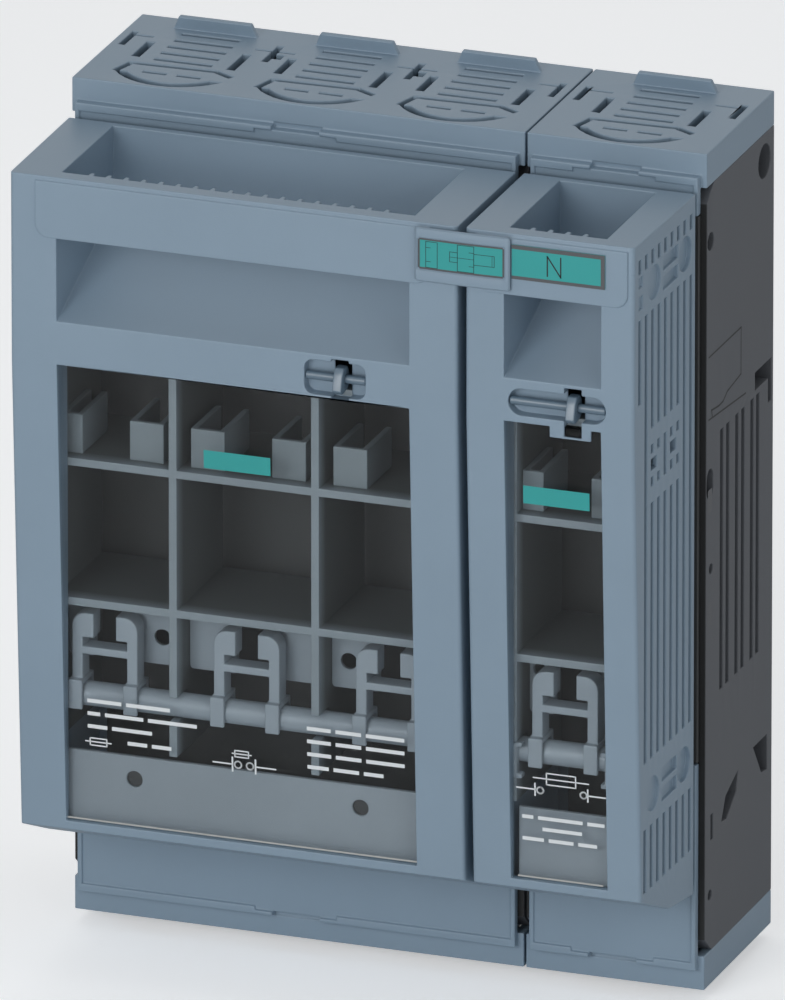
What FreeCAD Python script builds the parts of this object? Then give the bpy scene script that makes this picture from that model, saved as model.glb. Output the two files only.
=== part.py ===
import FreeCAD, Part
import math
import os
import re
import Sketcher

# Fuse switch disconnector: a three-pole unit and a neutral unit side by side.
# X runs across the poles, the front faces -Y, Z is up. The origin is the middle of the back.
# Each unit has a dark base housing with the contacts, two terminal covers and a carrier that
# swings down about a hinge at its foot and carries the fuse tray behind a smoked window.

os.makedirs("parts", exist_ok=True)
doc = FreeCAD.newDocument("FuseSwitchDisconnector")
sheet = doc.addObject("Spreadsheet::Sheet", "Sizes")

sizes = {
    # whole units, millimetres
    "polePitch": 33.3,
    "mainMargin": 6.1,
    "neutralMargin": 8.5,
    "unitGap": 0.5,
    "unitHeight": 196,
    # base housing
    "baseDepth": 44.3,
    "skirtHeight": 8,
    "cornerCut": 3.8,
    "sideWall": 2.4,
    "backWall": 3,
    "poleWall": 2,
    "ventTop": 30.5,
    "ventWidth": 2,
    "handHole": 4,
    "edgeHole": 2.1,
    "testHole": 1.25,
    "fixingHeight": 46,
    "fixingRadius": 2.75,
    "bossRadius": 4,
    "bossDepth": 9,
    # terminal covers and touch guard
    "coverLap": 0.2,
    "coverPlate": 2.4,
    "panelThickness": 1.5,
    "panelInset": 1.4,
    "panelEdge": 5.1,
    "topPanelReach": 14,
    "lowPanelReach": 53.5,
    "ledgeRise": 0.6,
    "ledgeHeight": 1.9,
    "ledgeEnd": 1.1,
    "latchLength": 11.2,
    "accessRadius": 1.9,
    "guardLap": 0.3,
    "guardThickness": 1.2,
    "guardSlotWide": 9,
    "guardSlotTall": 20,
    "guardCollar": 1.5,
    # push-out plates in the covers
    "slotLength": 13.6,
    "slotWidth": 1.4,
    "slotPitch": 4.36,
    "plateRadius": 15,
    "plateGroove": 2.2,
    "crossGroove": 1.5,
    "tongueWide": 20.4,
    "tongueThick": 1.4,
    "tongueTall": 4,
    # carrier
    "carrierGap": 0.7,
    "carrierDrop": 8,
    "swingPlay": 2.4,
    "carrierDepth": 37.9,
    "barHeight": 14.1,
    "recessHeight": 19.5,
    "bandHeight": 10.1,
    "footDrop": 24,
    "footStep": 2.1,
    "footSlope": 9.6,
    "footShelf": 15.6,
    "frontLean": 5.1,
    "shell": 2.3,
    "innerWall": 1.6,
    "mainStile": 11.2,
    "neutralStile": 9,
    "mainWiden": 4.2,
    "neutralWiden": 0.6,
    "mainCheekSet": 0.05,
    "mainCheekDraft": 0.35,
    "neutralCheekSet": 0.5,
    "neutralCheekDraft": 0.8,
    "edgeRadius": 1,
    # grip
    "barWall": 3.9,
    "barRise": 0.6,
    "barCorner": 3,
    "mainBarEnd": 6.45,
    "neutralBarEnd": 2.65,
    "gripBackWall": 2,
    "gripFloorRise": 14.6,
    "gripKneeRise": 9.8,
    "gripKneeDepth": 13.6,
    "toothPitch": 4.05,
    "toothWidth": 1.3,
    "toothDepth": 1.6,
    # cheek grille
    "grilleFront": 2.95,
    "grillePitch": 3.95,
    "grilleSlot": 1.6,
    "dimpleRadius": 4,
    "dimpleDepth": 1.8,
    # hinge
    "hingeSetback": 8.6,
    "hingeRise": 5,
    "hingePin": 2,
    "hingePlay": 0.06,
    "armHalf": 3,
    "armPlay": 0.4,
    # window and tray
    "windowThickness": 2,
    "windowRecess": 0.8,
    "seatPlay": 0.15,
    "trayInset": 7.4,
    "trayWall": 1.9,
    "traySide": 1,
    "shelfBelowBlade": 19.6,
    "shelfAboveBlade": 11.7,
    "barInset": 3.9,
    "barBelowBlade": 10.9,
    "trayBelowBar": 11.1,
    "barRadius": 2.8,
    "barPlay": 0.05,
    # hook levers and clips for the fuse-links
    "hookHeight": 19.5,
    "hookHead": 5.7,
    "hookReach": 7.7,
    "hookLeg": 2.5,
    "hookMouth": 2.6,
    "hookCross": 9.9,
    "hookCrossWidth": 1.8,
    "hookThickness": 4.6,
    "hookCorner": 3,
    "clipNear": 5.5,
    "clipFar": 13.5,
    "clipHeight": 9.2,
    "clipWall": 1.4,
    # lock
    "lockRise": 4.7,
    "mainLockAcross": 25.05,
    "neutralLockAcross": 4.75,
    "lockFloor": 2.6,
    "lockDepth": 9,
    "lockPin": 1,
    "lockPlay": 0.05,
    "pinDepth": 1.3,
    # contacts and terminals
    "bladeTop": 41,
    "bladeBottom": 23,
    "railDepth": 12,
    "railThickness": 2.5,
    "railWidth": 15,
    "jawLength": 24,
    "jawHalf": 8,
    "jawGap": 3.2,
    "jawWall": 2,
    "springWall": 0.9,
    "terminalDrop": 21,
    "screwRadius": 3.9,
    "screwHead": 7.2,
    "screwPlay": 0.3,
    "saddleHalf": 8,
    "saddleThickness": 3.6,
    "plateStep": 2.6,
    # clip over both carriers and label plate
    "linkWidth": 22.1,
    "linkThickness": 1.4,
    "linkLap": 9.35,
    "labelWidth": 21.6,
    "labelThickness": 0.3,
}
for row, (alias, size) in enumerate(sizes.items(), start=1):
    sheet.set("A%d" % row, alias)
    sheet.set("B%d" % row, str(size))
    sheet.setAlias("B%d" % row, alias)
doc.recompute()

# places that follow from those sizes
places = {
    "mainWidth": "3 * polePitch + mainMargin",
    "neutralWidth": "polePitch + neutralMargin",
    "halfHeight": "unitHeight / 2",
    "baseTop": "halfHeight - skirtHeight",
    "coverDepth": "baseDepth + coverLap",
    "panelFront": "coverDepth + panelThickness",
    "panelTop": "halfHeight - panelEdge",
    "topPanelFoot": "halfHeight - topPanelReach",
    "lowPanelHead": "halfHeight - lowPanelReach",
    "guardFront": "coverDepth + guardThickness",
    "terminalHeight": "halfHeight - terminalDrop",
    "carrierTop": "halfHeight - carrierDrop",
    "barFoot": "carrierTop - barHeight",
    "bandHead": "barFoot - recessHeight",
    "bandFoot": "bandHead - bandHeight",
    "footBack": "halfHeight - footDrop",
    "footMiddle": "footBack - footStep",
    "footFront": "footBack - footSlope",
    "sill": "footFront - 2",
    "carrierBack": "panelFront + swingPlay",
    "carrierFront": "carrierBack + carrierDepth",
    "barFront": "carrierFront + barRise",
    "footMiddleDepth": "carrierBack + footShelf",
    "gripBack": "carrierBack + gripBackWall",
    "gripFront": "carrierFront - barWall",
    "kneeDepth": "carrierBack + gripKneeDepth",
    "hingeDepth": "carrierBack + hingeSetback",
    "hingeDrop": "footBack - hingeRise",
    "trayFront": "carrierFront - trayInset",
    "trayBack": "carrierBack + 1",
    "trayHead": "bandFoot - seatPlay",
    "upperShelf": "bladeTop - shelfBelowBlade",
    "lowerShelf": "bladeBottom - shelfAboveBlade",
    "barDepth": "trayFront - barInset",
    "barDrop": "bladeBottom + barBelowBlade",
    "trayFoot": "barDrop + trayBelowBar",
    "lockHeight": "bandFoot + lockRise",
}


def cells(formula):
    # a formula in plain names becomes one that reads the sheet
    def look(found):
        name = found.group()
        return "(%s)" % cells(places[name]) if name in places else "Sizes." + name

    return re.sub(r"[A-Za-z]+", look, str(formula))


def bind(thing, **formulas):
    for name, formula in formulas.items():
        thing.setExpression(name.replace("_", "."), cells(formula))


def valueOf(formula):
    return float(sheet.evalExpression(cells(formula)))


units = {
    "main": {
        "centre": "-(unitGap + neutralWidth) / 2",
        "half": "mainWidth / 2",
        "stile": "mainStile",
        "widen": "mainWiden",
        "cheekSet": "mainCheekSet",
        "cheekDraft": "mainCheekDraft",
        "barEnd": "mainBarEnd",
        "lock": "mainLockAcross",
        "free": "-",
        "poles": (-1, 0, 1),
    },
    "neutral": {
        "centre": "(mainWidth + unitGap) / 2",
        "half": "neutralWidth / 2",
        "stile": "neutralStile",
        "widen": "neutralWiden",
        "cheekSet": "neutralCheekSet",
        "cheekDraft": "neutralCheekDraft",
        "barEnd": "neutralBarEnd",
        "lock": "neutralLockAcross",
        "free": "",
        "poles": (0,),
    },
}
for unit in units.values():
    unit["carrier"] = "(%s - carrierGap)" % unit["half"]
    unit["window"] = "(%s - %s)" % (unit["carrier"], unit["stile"])
    unit["room"] = "(%s + %s)" % (unit["window"], unit["widen"])
    unit["channel"] = "(%s + innerWall)" % unit["room"]
    unit["channelWidth"] = "(%s - %s - innerWall - shell)" % (unit["stile"], unit["widen"])

pieces = []


def keep(thing, label, x="0"):
    # names a finished sub-part and puts it at its unit's or pole's centre
    thing.Label = label
    bind(thing, Placement_Base_x=x)
    pieces.append(thing)
    return thing


def poleCentre(unit, pole):
    return "%s + %d * polePitch" % (unit["centre"], pole)


# Sketch based features

def newBody(name):
    return doc.addObject("PartDesign::Body", name)


def plane(body, role):
    return [item for item in body.Origin.OriginFeatures if item.Role == role][0]


def sketch(body, role, name, lift="0"):
    drawing = body.newObject("Sketcher::SketchObject", name)
    drawing.AttachmentSupport = [(plane(body, role), "")]
    drawing.MapMode = "FlatFace"
    bind(drawing, AttachmentOffset_Base_z=lift)
    return drawing


def constrain(drawing, rules, formulas):
    # adds an outline's rules together, then ties the sizes among them to the sheet
    first = len(drawing.Constraints)
    drawing.addConstraint(rules)
    for place, formula in formulas.items():
        drawing.setExpression("Constraints[%d]" % (first + place), cells(formula))


def polygon(drawing, points):
    start = len(drawing.Geometry)
    rough = [FreeCAD.Vector(valueOf(x), valueOf(y), 0) for x, y in points]
    count = len(points)
    sides = [Part.LineSegment(rough[index], rough[(index + 1) % count]) for index in range(count)]
    drawing.addGeometry(sides, False)
    rules = []
    for index in range(count):
        following = start + (index + 1) % count
        rules.append(Sketcher.Constraint("Coincident", start + index, 2, following, 1))
    formulas = {}
    for index, (x, y) in enumerate(points):
        for kind, formula in (("DistanceX", x), ("DistanceY", y)):
            formulas[len(rules)] = formula
            rules.append(Sketcher.Constraint(kind, -1, 1, start + index, 1, valueOf(formula)))
    constrain(drawing, rules, formulas)


def rectangle(drawing, x1, x2, y1, y2):
    polygon(drawing, [(x1, y1), (x2, y1), (x2, y2), (x1, y2)])


def turnPoints(x, y, radius, start, end, steps):
    # points on an arc about a centre, from one angle to another in degrees
    points = []
    for step in range(steps + 1):
        turn = math.radians(start + (end - start) * step / steps)
        across = "%s + (%s) * %.5f" % (x, radius, math.cos(turn))
        up = "%s + (%s) * %.5f" % (y, radius, math.sin(turn))
        points.append((across, up))
    return points


def roundedBox(drawing, x1, x2, y1, y2, low, high="0", steps=4):
    # a rectangle with its lower corners rounded by one radius and its upper ones by another
    points = []
    for x, y, radius, start in (
        (x2, y1, low, 270), (x2, y2, high, 0), (x1, y2, high, 90), (x1, y1, low, 180),
    ):
        if radius == "0":
            points.append((x, y))
            continue
        across = "%s %s (%s)" % (x, "-" if x == x2 else "+", radius)
        up = "%s %s (%s)" % (y, "-" if y == y2 else "+", radius)
        points += turnPoints(across, up, radius, start, start + 90, steps)
    # where two roundings meet, their common point is kept once
    kept = {}
    for x, y in points:
        kept.setdefault((round(valueOf(x), 3), round(valueOf(y), 3)), (x, y))
    polygon(drawing, list(kept.values()))


def facetedHole(drawing, x, y, radius, sides):
    # small round opening with flat sides
    polygon(drawing, turnPoints(x, y, radius, 180 / sides, 360 + 180 / sides, sides)[:-1])


def circle(drawing, x, y, radius):
    spot = FreeCAD.Vector(valueOf(x), valueOf(y), 0)
    arc = Part.Circle(spot, FreeCAD.Vector(0, 0, 1), valueOf(radius))
    ring = drawing.addGeometry(arc, False)
    rules = [
        Sketcher.Constraint("Radius", ring, valueOf(radius)),
        Sketcher.Constraint("DistanceX", -1, 1, ring, 3, valueOf(x)),
        Sketcher.Constraint("DistanceY", -1, 1, ring, 3, valueOf(y)),
    ]
    constrain(drawing, rules, {0: radius, 1: x, 2: y})


def extrude(body, kind, drawing, length, both=False, back=False):
    feature = body.newObject("PartDesign::" + kind, drawing.Name + kind)
    feature.Profile = drawing
    feature.Type = "Length"
    feature.SideType = "Symmetric" if both else "One side"
    feature.Reversed = back
    bind(feature, Length=length)
    drawing.Visibility = False
    before = volume(body)
    body.Tip = feature
    doc.recompute()
    changed = body.Shape.Volume - before
    if (kind == "Pad") != (changed > 0) or abs(changed) < 0.01:
        raise RuntimeError("%s changes the volume by %.3f" % (feature.Name, changed))
    return feature


def volume(body):
    return 0.0 if body.Tip is None or body.Shape.isNull() else body.Shape.Volume


def pad(body, drawing, length, both=False, back=False):
    return extrude(body, "Pad", drawing, length, both, back)


def pocket(body, drawing, length, both=False, back=False):
    return extrude(body, "Pocket", drawing, length, both, back)


def mirrored(body, features, role="YZ_Plane"):
    copy = body.newObject("PartDesign::Mirrored", features[0].Name + "Mirrored")
    copy.Originals = features
    copy.MirrorPlane = (plane(body, role), [""])
    body.Tip = copy
    return copy


def lineUp(body, features, role, spacing, count):
    row = body.newObject("PartDesign::LinearPattern", features[0].Name + "Row")
    row.Originals = features
    row.Direction = (plane(body, role), [""])
    row.Occurrences = count
    row.Length = valueOf("%s * %d" % (spacing, count - 1))
    bind(row, Length="%s * %d" % (spacing, count - 1))
    body.Tip = row
    return row


# Plain solids for booleans

def block(name, x, y, z):
    solid = doc.addObject("Part::Box", name)
    bind(
        solid,
        Length="(%s) - (%s)" % (x[1], x[0]),
        Width="(%s) - (%s)" % (y[1], y[0]),
        Height="(%s) - (%s)" % (z[1], z[0]),
        Placement_Base_x=x[0],
        Placement_Base_y=y[0],
        Placement_Base_z=z[0],
    )
    return solid


def beam(name, x, start, end, width):
    # a straight cut through the cover's plate between two points, counted back from its front
    long, side = end[0] - start[0], end[1] - start[1]
    length = math.hypot(long, side)
    solid = doc.addObject("Part::Box", name)
    turn = math.degrees(math.atan2(side, long))
    solid.Placement.Rotation = FreeCAD.Rotation(FreeCAD.Vector(0, 0, 1), turn)
    bind(
        solid,
        Length=length,
        Width=width,
        Height="coverPlate + 2",
        Placement_Base_x="%s + %.3f + %s * %.5f" % (x, start[0], width, side / length / 2),
        Placement_Base_y="-coverDepth + %.3f - %s * %.5f" % (start[1], width, long / length / 2),
        Placement_Base_z="halfHeight - coverPlate - 1",
    )
    return solid


def rod(name, axis, place, length, radius):
    # a cylinder along X or Z that starts at a place
    turns = {"X": FreeCAD.Rotation(FreeCAD.Vector(0, 1, 0), 90), "Z": FreeCAD.Rotation()}
    solid = doc.addObject("Part::Cylinder", name)
    solid.Placement.Rotation = turns[axis]
    bind(
        solid,
        Radius=radius,
        Height=length,
        Placement_Base_x=place[0],
        Placement_Base_y=place[1],
        Placement_Base_z=place[2],
    )
    return solid


def prism(name, sides, place, length, radius, axis="Y"):
    # a regular prism that starts at a place and runs up, or towards the front
    solid = doc.addObject("Part::Prism", name)
    solid.Polygon = sides
    if axis == "Y":
        solid.Placement.Rotation = FreeCAD.Rotation(FreeCAD.Vector(1, 0, 0), 90)
    bind(
        solid,
        Circumradius=radius,
        Height=length,
        Placement_Base_x=place[0],
        Placement_Base_y=place[1],
        Placement_Base_z=place[2],
    )
    return solid


def joined(name, solids):
    union = doc.addObject("Part::MultiFuse", name)
    union.Shapes = solids
    return union


def gathered(name, solids):
    group = doc.addObject("Part::Compound", name)
    group.Links = solids
    return group


def cut(name, solid, tools):
    result = doc.addObject("Part::Cut", name)
    result.Base = solid
    result.Tool = tools[0] if len(tools) == 1 else gathered(name + "Tools", tools)
    return result


# Base housings

def buildBase(side, unit):
    half = unit["half"]
    body = newBody("base_" + side)
    outline = sketch(body, "YZ_Plane", "BaseOutline")
    polygon(outline, [
        ("0", "-baseTop"),
        ("0", "baseTop"),
        ("-baseDepth + cornerCut + 0.8", "baseTop"),
        ("-baseDepth", "baseTop - cornerCut"),
        ("-baseDepth", "-baseTop + cornerCut"),
        ("-baseDepth + cornerCut + 0.8", "-baseTop"),
    ])
    pad(body, outline, "2 * " + half, both=True)
    # pole chambers, open at the front and at both ends for the cables
    chambers = sketch(body, "XY_Plane", "Chambers")
    for pole in unit["poles"]:
        left = "%d * polePitch - polePitch / 2 + poleWall / 2" % pole
        right = "%d * polePitch + polePitch / 2 - poleWall / 2" % pole
        rectangle(chambers, left, right, "-baseDepth - 1", "-backWall")
    pocket(body, chambers, "2 * unitHeight", both=True)
    # bosses on the back wall take the fixing screws
    bosses = sketch(body, "XZ_Plane", "Bosses")
    holes = sketch(body, "XZ_Plane", "FixingHoles")
    for across in ("-polePitch / 2", "polePitch / 2"):
        for up in ("-fixingHeight", "fixingHeight"):
            facetedHole(bosses, across, up, "bossRadius", 8)
            circle(holes, across, up, "fixingRadius")
    pad(body, bosses, "bossDepth")
    pocket(body, holes, "2 * baseDepth + 4", both=True)
    # hinge arms reach forward into the carrier's stiles
    arm = sketch(body, "YZ_Plane", "Arm", unit["channel"] + " + armPlay")
    polygon(arm, [
        ("-baseDepth + 12", "-hingeDrop - armHalf"),
        ("-hingeDepth - armHalf + 1.6", "-hingeDrop - armHalf"),
        ("-hingeDepth - armHalf", "-hingeDrop - armHalf + 1.6"),
        ("-hingeDepth - armHalf", "-hingeDrop + armHalf - 1.6"),
        ("-hingeDepth - armHalf + 1.6", "-hingeDrop + armHalf"),
        ("-baseDepth + 12", "-hingeDrop + armHalf"),
    ])
    armPad = pad(body, arm, unit["channelWidth"] + " - 2 * armPlay")
    root = sketch(body, "YZ_Plane", "ArmRoot", unit["channel"] + " + armPlay")
    rectangle(root, "-baseDepth", "-baseDepth + 14", "-hingeDrop - armHalf - 2", "-hingeDrop + armHalf + 2")
    rootPad = pad(body, root, "%s - %s - armPlay" % (half, unit["channel"]))
    journal = sketch(body, "YZ_Plane", "Journal", unit["room"] + " + 0.2")
    circle(journal, "-hingeDepth", "-hingeDrop", "hingePin")
    journalPad = pad(body, journal, "innerWall + armPlay")
    mirrored(body, [armPad, rootPad, journalPad])
    cutSide(body, side, unit)
    keep(body, "base_" + side, unit["centre"])


def cutSide(body, side, unit):
    # openings in the side that stands free: cooling slots in three pairs, cut-outs and holes
    half = unit["half"]
    inside = "(%d * polePitch / 2 - poleWall / 2)" % len(unit["poles"])

    def openSide(title, draw):
        drawing = sketch(body, "YZ_Plane", title, unit["free"] + half)
        draw(drawing)
        pocket(body, drawing, "%s - %s + 0.3" % (half, inside), back=side == "main")

    def coolingSlots(drawing):
        for fromBack in (35, 31, 25, 21, 15, 11.2):
            near = "-%s" % fromBack
            rectangle(drawing, near, near + " + ventWidth", "-ventTop", "ventTop")

    def cutOuts(drawing):
        polygon(drawing, [
            ("-12.1", "ventTop + 1.3"), ("-3.4", "ventTop + 1.3"), ("-3.4", "ventTop - 4.5"),
            ("-1.2", "ventTop - 4.5"), ("-1.2", "ventTop + 5.5"), ("-12.1", "ventTop + 5.5"),
        ])
        polygon(drawing, [
            ("-3.2", "-ventTop - 21.6"), ("-12.3", "-ventTop - 21.6"),
            ("-6.8", "-ventTop - 29.4"), ("-3.2", "-ventTop - 29.9"),
        ])
        polygon(drawing, [
            ("-33.4", "-ventTop - 31.6"), ("-30.6", "-ventTop - 26.5"), ("-22.4", "-ventTop - 23.3"),
            ("-23.6", "-ventTop - 27.9"), ("-30", "-ventTop - 32.1"),
        ])
        rectangle(drawing, "-40.5", "-39", "-ventTop - 33.5", "-ventTop - 27.5")

    edge = "-baseDepth + 2.6"

    def largeHoles(drawing):
        facetedHole(drawing, "-6.4", "baseTop - 2.4 - handHole", "handHole", 16)
        facetedHole(drawing, edge, "baseTop - 13.2", "edgeHole", 12)

    def smallHoles(drawing):
        left, right = edge + " - edgeHole", edge + " + edgeHole"
        roundedBox(drawing, left, right, "ventTop - 13.8", "ventTop - 6.8", "edgeHole", "edgeHole", 3)
        for height in ("0.1", "-baseTop + 13.3"):
            facetedHole(drawing, "-baseDepth + 3.4", height, "testHole", 8)

    openSide("CoolingSlots", coolingSlots)
    openSide("CutOuts", cutOuts)
    openSide("LargeHoles", largeHoles)
    openSide("SmallHoles", smallHoles)


# Terminal covers: the same moulding closes both ends, with a taller front plate at the foot

plateDepth = ("halfHeight - coverPlate - 1", "halfHeight + 1")


def cutter(name, x, y):
    # a cut through the cover's plate; Y counts back from the cover's front
    return block(name, x, ["-coverDepth + %s" % place for place in y], plateDepth)


def pushOut(name, pole, withSlots):
    # D-shaped push-out plate for the cable: a curved groove, side gaps and a bent cross groove
    x = "%d * polePitch" % pole
    tools = []
    for near, far, low, high in ((-12.3, -10.4, 17.7, 27.7), (10.5, 12.4, 16.3, 27.1)):
        edges = ("%s + %s" % (x, near), "%s + %s" % (x, far))
        tools.append(cutter(name + "SideGap", edges, (low, high)))
    runs = [((-10.8, 13.5), (9, 14.1)), ((8.6, 14.3), (13.4, 11.6)), ((-12.4, 7.6), (-10.6, 13.9))]
    for start, end in runs:
        tools.append(beam(name + "Groove", x, start, end, "crossGroove"))
    if withSlots:
        left = x + " - slotLength / 2"
        for row in range(5):
            near = "16.7 + %d * slotPitch" % row
            along = (left, left + " + slotLength")
            tools.append(cutter(name + "Slot", along, (near, near + " + slotWidth")))
        for start, end in ((-6.3, -0.8), (1.7, 7.2)):
            edges = ("%s + %s" % (x, start), "%s + %s" % (x, end))
            tools.append(cutter(name + "Short", edges, ("8.2", "9.4")))
        for start, end in ((-17.4, -12), (12, 17.4)):
            edges = ("%s + %s" % (x, start), "%s + %s" % (x, end))
            tools.append(cutter(name + "Line", edges, ("30.6", "31.2")))
    centre = (x, "-coverDepth + 1.2 + plateRadius", "halfHeight - coverPlate - 1")
    outer = prism(name + "Outer", 40, centre, "coverPlate + 2", "plateRadius", "Z")
    inner = prism(name + "Inner", 40, centre, "coverPlate + 2", "plateRadius - plateGroove", "Z")
    ring = cut(name + "Ring", outer, [inner])
    front = cutter(name + "Front", (x + " - 20", x + " + 20"), ("-2", "7.9"))
    arc = doc.addObject("Part::Common", name + "Arc")
    arc.Base = ring
    arc.Tool = front
    return tools + [arc]


def tongue(name, pole):
    # upright tongue at the back edge of the push-out plate, narrower at its top
    solid = doc.addObject("Part::Wedge", name)
    bind(
        solid,
        Xmin="0", Ymin="0", Zmin="0", Z2min="0", X2min="1.7",
        Xmax="tongueWide", Ymax="tongueTall", Zmax="tongueThick", Z2max="tongueThick",
        X2max="tongueWide - 1.7",
        Placement_Base_x="%d * polePitch - tongueWide / 2" % pole,
        Placement_Base_y="-coverDepth + 39.3",
        Placement_Base_z="halfHeight - 0.8",
    )
    return solid


def buildCover(side, unit, end):
    half = unit["half"]
    name = "%s_cover_%s" % (end, side)
    shell = block(name + "Shell", ("-" + half, half), ("-coverDepth", "0"), ("baseTop", "halfHeight"))
    hollow = block(
        name + "Hollow",
        ("-%s + sideWall" % half, half + " - sideWall"),
        ("-coverDepth + sideWall", "-backWall"),
        ("baseTop - 1", "halfHeight - coverPlate"),
    )
    cap = cut(name + "Cap", shell, [hollow])
    # front plate with a raised ledge along its top and down both ends
    panelFoot = "topPanelFoot" if end == "top" else "lowPanelHead"
    across = ("-%s + panelInset" % half, half + " - panelInset")
    proud = ("-panelFront - ledgeRise", "-panelFront")
    solids = [
        cap,
        block(name + "Panel", across, ("-panelFront", "-coverDepth"), (panelFoot, "panelTop")),
        block(name + "Ledge", across, proud, ("panelTop - ledgeHeight", "panelTop")),
        block(name + "LeftEnd", (across[0], across[0] + " + ledgeEnd"), proud, (panelFoot, "panelTop")),
        block(name + "RightEnd", (across[1] + " - ledgeEnd", across[1]), proud, (panelFoot, "panelTop")),
    ]
    tools = []
    for pole in unit["poles"]:
        tools += pushOut("%sPole%d" % (name, pole + 1), pole, end == "top")
        flap = tongue("%sTongue%d" % (name, pole + 1), pole)
        flap.Placement.Rotation = FreeCAD.Rotation(FreeCAD.Vector(1, 0, 0), 98)
        solids.append(flap)
    if end == "top":
        # T-shaped openings between the poles and a short slot near each end
        for pole in unit["poles"][:-1]:
            middle = "(%d + 0.5) * polePitch" % pole
            tools.append(cutter(name + "Stem", (middle + " - 0.8", middle + " + 0.7"), ("24", "34.6")))
            tools.append(cutter(name + "Arm", (middle + " + 0.5", middle + " + 2.8"), ("26.4", "29.4")))
        for sign in ("-", ""):
            edges = ["%s(%s - 3.4)" % (sign, half), "%s(%s - 2)" % (sign, half)]
            tools.append(cutter(name + "EndSlot", sorted(edges, key=valueOf), ("24", "33")))
    # narrow latch slot at the ledge, with a flat below it
    tools.append(block(
        name + "Latch",
        ("-latchLength / 2", "latchLength / 2"),
        ("-panelFront - ledgeRise - 1", "-coverDepth + 0.4"),
        ("panelTop - 1", "panelTop + 0.3"),
    ))
    tools.append(block(
        name + "LatchFlat",
        ("-latchLength / 2 - 4", "latchLength / 2 + 4"),
        ("-panelFront - ledgeRise - 1", "-panelFront"),
        ("panelTop - ledgeHeight - 1", "panelTop - 1"),
    ))
    if end == "bottom":
        tools += footTools(name, side, unit)
    cover = cut(name, joined(name + "Whole", solids), tools)
    if end == "bottom":
        cover.Placement.Rotation = FreeCAD.Rotation(FreeCAD.Vector(0, 1, 0), 180)
    keep(cover, name, unit["centre"])


def footTools(name, side, unit):
    # the lower front plate has gaps for the hinge arms and, on the wide unit, two access holes
    tools = []
    for sign in ("", "-"):
        edges = ["%s(%s)" % (sign, unit["channel"]), "%s(%s - shell)" % (sign, unit["carrier"])]
        tools.append(block(
            name + "ArmGap",
            sorted(edges, key=valueOf),
            ("-panelFront - ledgeRise - 1", "-coverDepth + 0.5"),
            ("hingeDrop - armHalf - 0.5", "hingeDrop + armHalf + 0.5"),
        ))
    if side == "main":
        for x in ("polePitch + 4.45", "-polePitch + 18.05"):
            place = (x, "-coverDepth + 1", "hingeDrop - 4.7")
            tools.append(prism(name + "Access", 16, place, "panelThickness + 3", "accessRadius"))
    return tools


# Touch guard over the contacts, with a slot in front of each pair of jaws

def buildGuard(side, unit):
    name = "touch_guard_" + side
    half = unit["half"]
    plate = block(
        name + "Plate",
        ("-%s + panelInset" % half, half + " - panelInset"),
        ("-guardFront", "-coverDepth"),
        ("-lowPanelHead + guardLap", "topPanelFoot - guardLap"),
    )
    solids = [plate]
    tools = []
    for pole in unit["poles"]:
        x = "%d * polePitch" % pole
        for centre in ("bladeTop", "-bladeBottom"):
            slot = (x + " - guardSlotWide / 2", x + " + guardSlotWide / 2")
            span = (centre + " - guardSlotTall / 2", centre + " + guardSlotTall / 2")
            tools.append(block(name + "Slot", slot, ("-guardFront - 1", "-coverDepth + 8"), span))
            solids.append(block(
                name + "Collar",
                (slot[0] + " - guardCollar", slot[1] + " + guardCollar"),
                ("-coverDepth", "-coverDepth + 2 * guardCollar"),
                (span[0] + " - guardCollar", span[1] + " + guardCollar"),
            ))
    if side == "main":
        place = ("polePitch - 20.9", "-coverDepth + 1", "-barDrop + 3.7")
        tools.append(prism(name + "Access", 16, place, "guardThickness + 3", "accessRadius"))
    keep(cut(name, joined(name + "Whole", solids), tools), name, unit["centre"])


# Carriers

def frontAt(height, inside="0"):
    # the front leans back below the band, so its depth depends on the height
    share = "(bandFoot - (%s)) / (bandFoot + footFront)" % height
    return "-carrierFront + frontLean * %s + %s" % (share, inside)


def verticalEdges(shape, depth):
    # the long front edges at both sides of a carrier
    chosen = []
    for index, edge in enumerate(shape.Edges, start=1):
        middle = edge.CenterOfMass
        span = edge.BoundBox
        if span.XLength < 1 and span.ZLength > 20 and middle.y < -depth:
            chosen.append("Edge%d" % index)
    return chosen


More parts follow.
